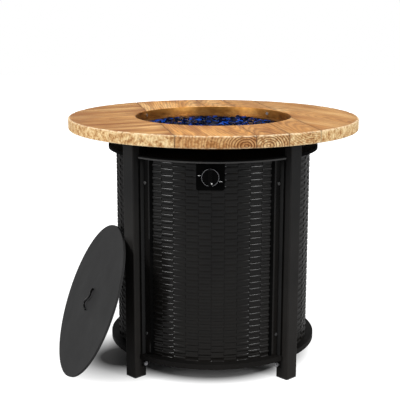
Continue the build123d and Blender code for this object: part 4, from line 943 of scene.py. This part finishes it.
WIRE = plastic("wire_cover", grey(0.012), 0.45)
CERAMIC = plastic("white_ceramic", (0.60, 0.59, 0.56), 0.2, 300)
SCREW_BLACK = plastic("screw_black", grey(0.02), 0.35)

LOOKS = {
    COAT: ["right_front_leg", "right_rear_leg", "left_rear_leg", "left_front_leg", "leg_end_plates",
           "bottle_ring"],
    RIM_COAT: ["bottom_plate"],
    plate_shade_and_highlight_paint(): ["top_plate", "magnet_bracket"],
    GLOSS_COAT: ["control_plate"],
    LID_COAT: ["lid_plate"],
    heat_tint_and_flame_glow(): ["fire_bowl"],
    BRIGHT: ["tabletop_screws", "plate_bolts", "plate_nuts", "panel_cleats", "door_pivot_pins", "door_knob",
             "door_magnet", "bowl_screws", "inlet_lock_nut", "lid_screws", "probe_bracket", "valve_stem",
             "valve_nut"],
    BURNER: ["burner_ring", "burner_standoffs", "burner_inlet", "electrode_rod", "thermocouple"],
    BRASS: ["air_mixer", "valve_body", "valve_cap", "valve_plug", "outlet_fitting", "inlet_fitting"],
    TUBE: ["gas_tube"],
    RING: ["knob_trim_ring"],
    KNOB: ["control_knob"],
    FOOT: ["foot_plugs"],
    WIRE: ["ignition_wire", "thermocouple_lead", "piezo_igniter"],
    CERAMIC: ["electrode_insulator"],
    SCREW_BLACK: ["panel_screws"],
}
for material, names in LOOKS.items():
    for name in names:
        nodes[name].data.materials.clear()
        nodes[name].data.materials.append(material)


# Floor, backdrop and light

FLOOR_HALF, FLOOR_Z = 9, -0.0004
# Centre, inner and outer radius of the table's painted shade, the lid's painted shade and the painted glow
# far out on the floor
TABLE_SHADE = ((AXIS_X - 0.01, 0.025, 0), 0.23, 0.285)
LID_SHADE = ((AXIS_X - 0.24, -0.07, 0), 0.06, 0.19)
FAR_GLOW = ((0, 0, 0), 0.7, 2.3)


def make_floor():
    """A pale floor that glows white to the camera, with painted shade where its glow fades round the table
    and the lid.
    """
    corners = [(x * FLOOR_HALF, y * FLOOR_HALF, FLOOR_Z) for x, y in ((-1, -1), (1, -1), (1, 1), (-1, 1))]
    mesh = bpy.data.meshes.new("floor")
    mesh.from_pydata(corners, [], [(0, 1, 2, 3)])
    floor = bpy.data.objects.new("floor", mesh)
    scene.collection.objects.link(floor)
    m = Mat("pale_floor", 0.9, spec=0.1)
    m.done(m.mix(m.noise(3, 2), grey(0.40), grey(0.37)))
    rays = m.new("ShaderNodeLightPath").outputs
    seen = m.math("MAXIMUM", rays["Is Camera Ray"], rays["Is Transmission Ray"])
    seen = m.math("MAXIMUM", seen, m.times(rays["Is Glossy Ray"], 0.35))
    # Painted shade and light: by place on the floor, the glow is withheld round the table and the lid and
    # raised far out
    lit = m.times(m.away(*TABLE_SHADE), m.away(*LID_SHADE))
    glow = m.plus(m.times(lit, 0.88), m.times(m.away(*FAR_GLOW), 0.4))
    m.put(m.shader.inputs["Emission Color"], (1, 1, 1, 1))
    m.put(m.shader.inputs["Emission Strength"], m.times(seen, glow))
    mesh.materials.append(m.mat)


def make_world():
    """A backdrop that is white to the camera, greyer in reflections and dim as a light."""
    world = bpy.data.worlds.new("world")
    scene.world = world
    world.use_nodes = True
    net = Nodes(world.node_tree)
    rays = net.new("ShaderNodeLightPath").outputs
    seen = net.math("MAXIMUM", rays["Is Camera Ray"], rays["Is Transmission Ray"])
    seen = net.math("MAXIMUM", seen, net.times(rays["Is Glossy Ray"], 0.55))
    background = net.tree.nodes["Background"]
    net.put(background.inputs["Color"], (1, 1, 1, 1))
    net.put(background.inputs["Strength"], net.math("MAXIMUM", seen, 0.42))


def area_light(name, azimuth, distance, height, size, power, aim=0.35):
    """A lamp round the table, aimed at a height on its axis. The azimuth is in degrees from the front."""
    data = bpy.data.lights.new(name, "AREA")
    data.shape = "RECTANGLE"
    data.size, data.size_y = size
    data.energy = power
    lamp = bpy.data.objects.new(name, data)
    a = math.radians(azimuth)
    lamp.location = (AXIS_X + distance * math.sin(a), -distance * math.cos(a), height)
    aimed = Vector((AXIS_X, 0, aim)) - lamp.location
    lamp.rotation_euler = aimed.to_track_quat("-Z", "Y").to_euler()
    scene.collection.objects.link(lamp)


make_floor()
make_world()
area_light("core_left", -51, 2.6, 1.35, (0.50, 1.3), 40)
area_light("core_right", 50.5, 2.6, 1.35, (0.50, 1.3), 35)
area_light("wide_left", -53, 2.8, 1.35, (1.7, 1.3), 26)
area_light("wide_right", 52.5, 2.8, 1.35, (1.7, 1.3), 22)
area_light("top_soft", 180, 0.15, 2.9, (1.3, 1.3), 22, 0.6)
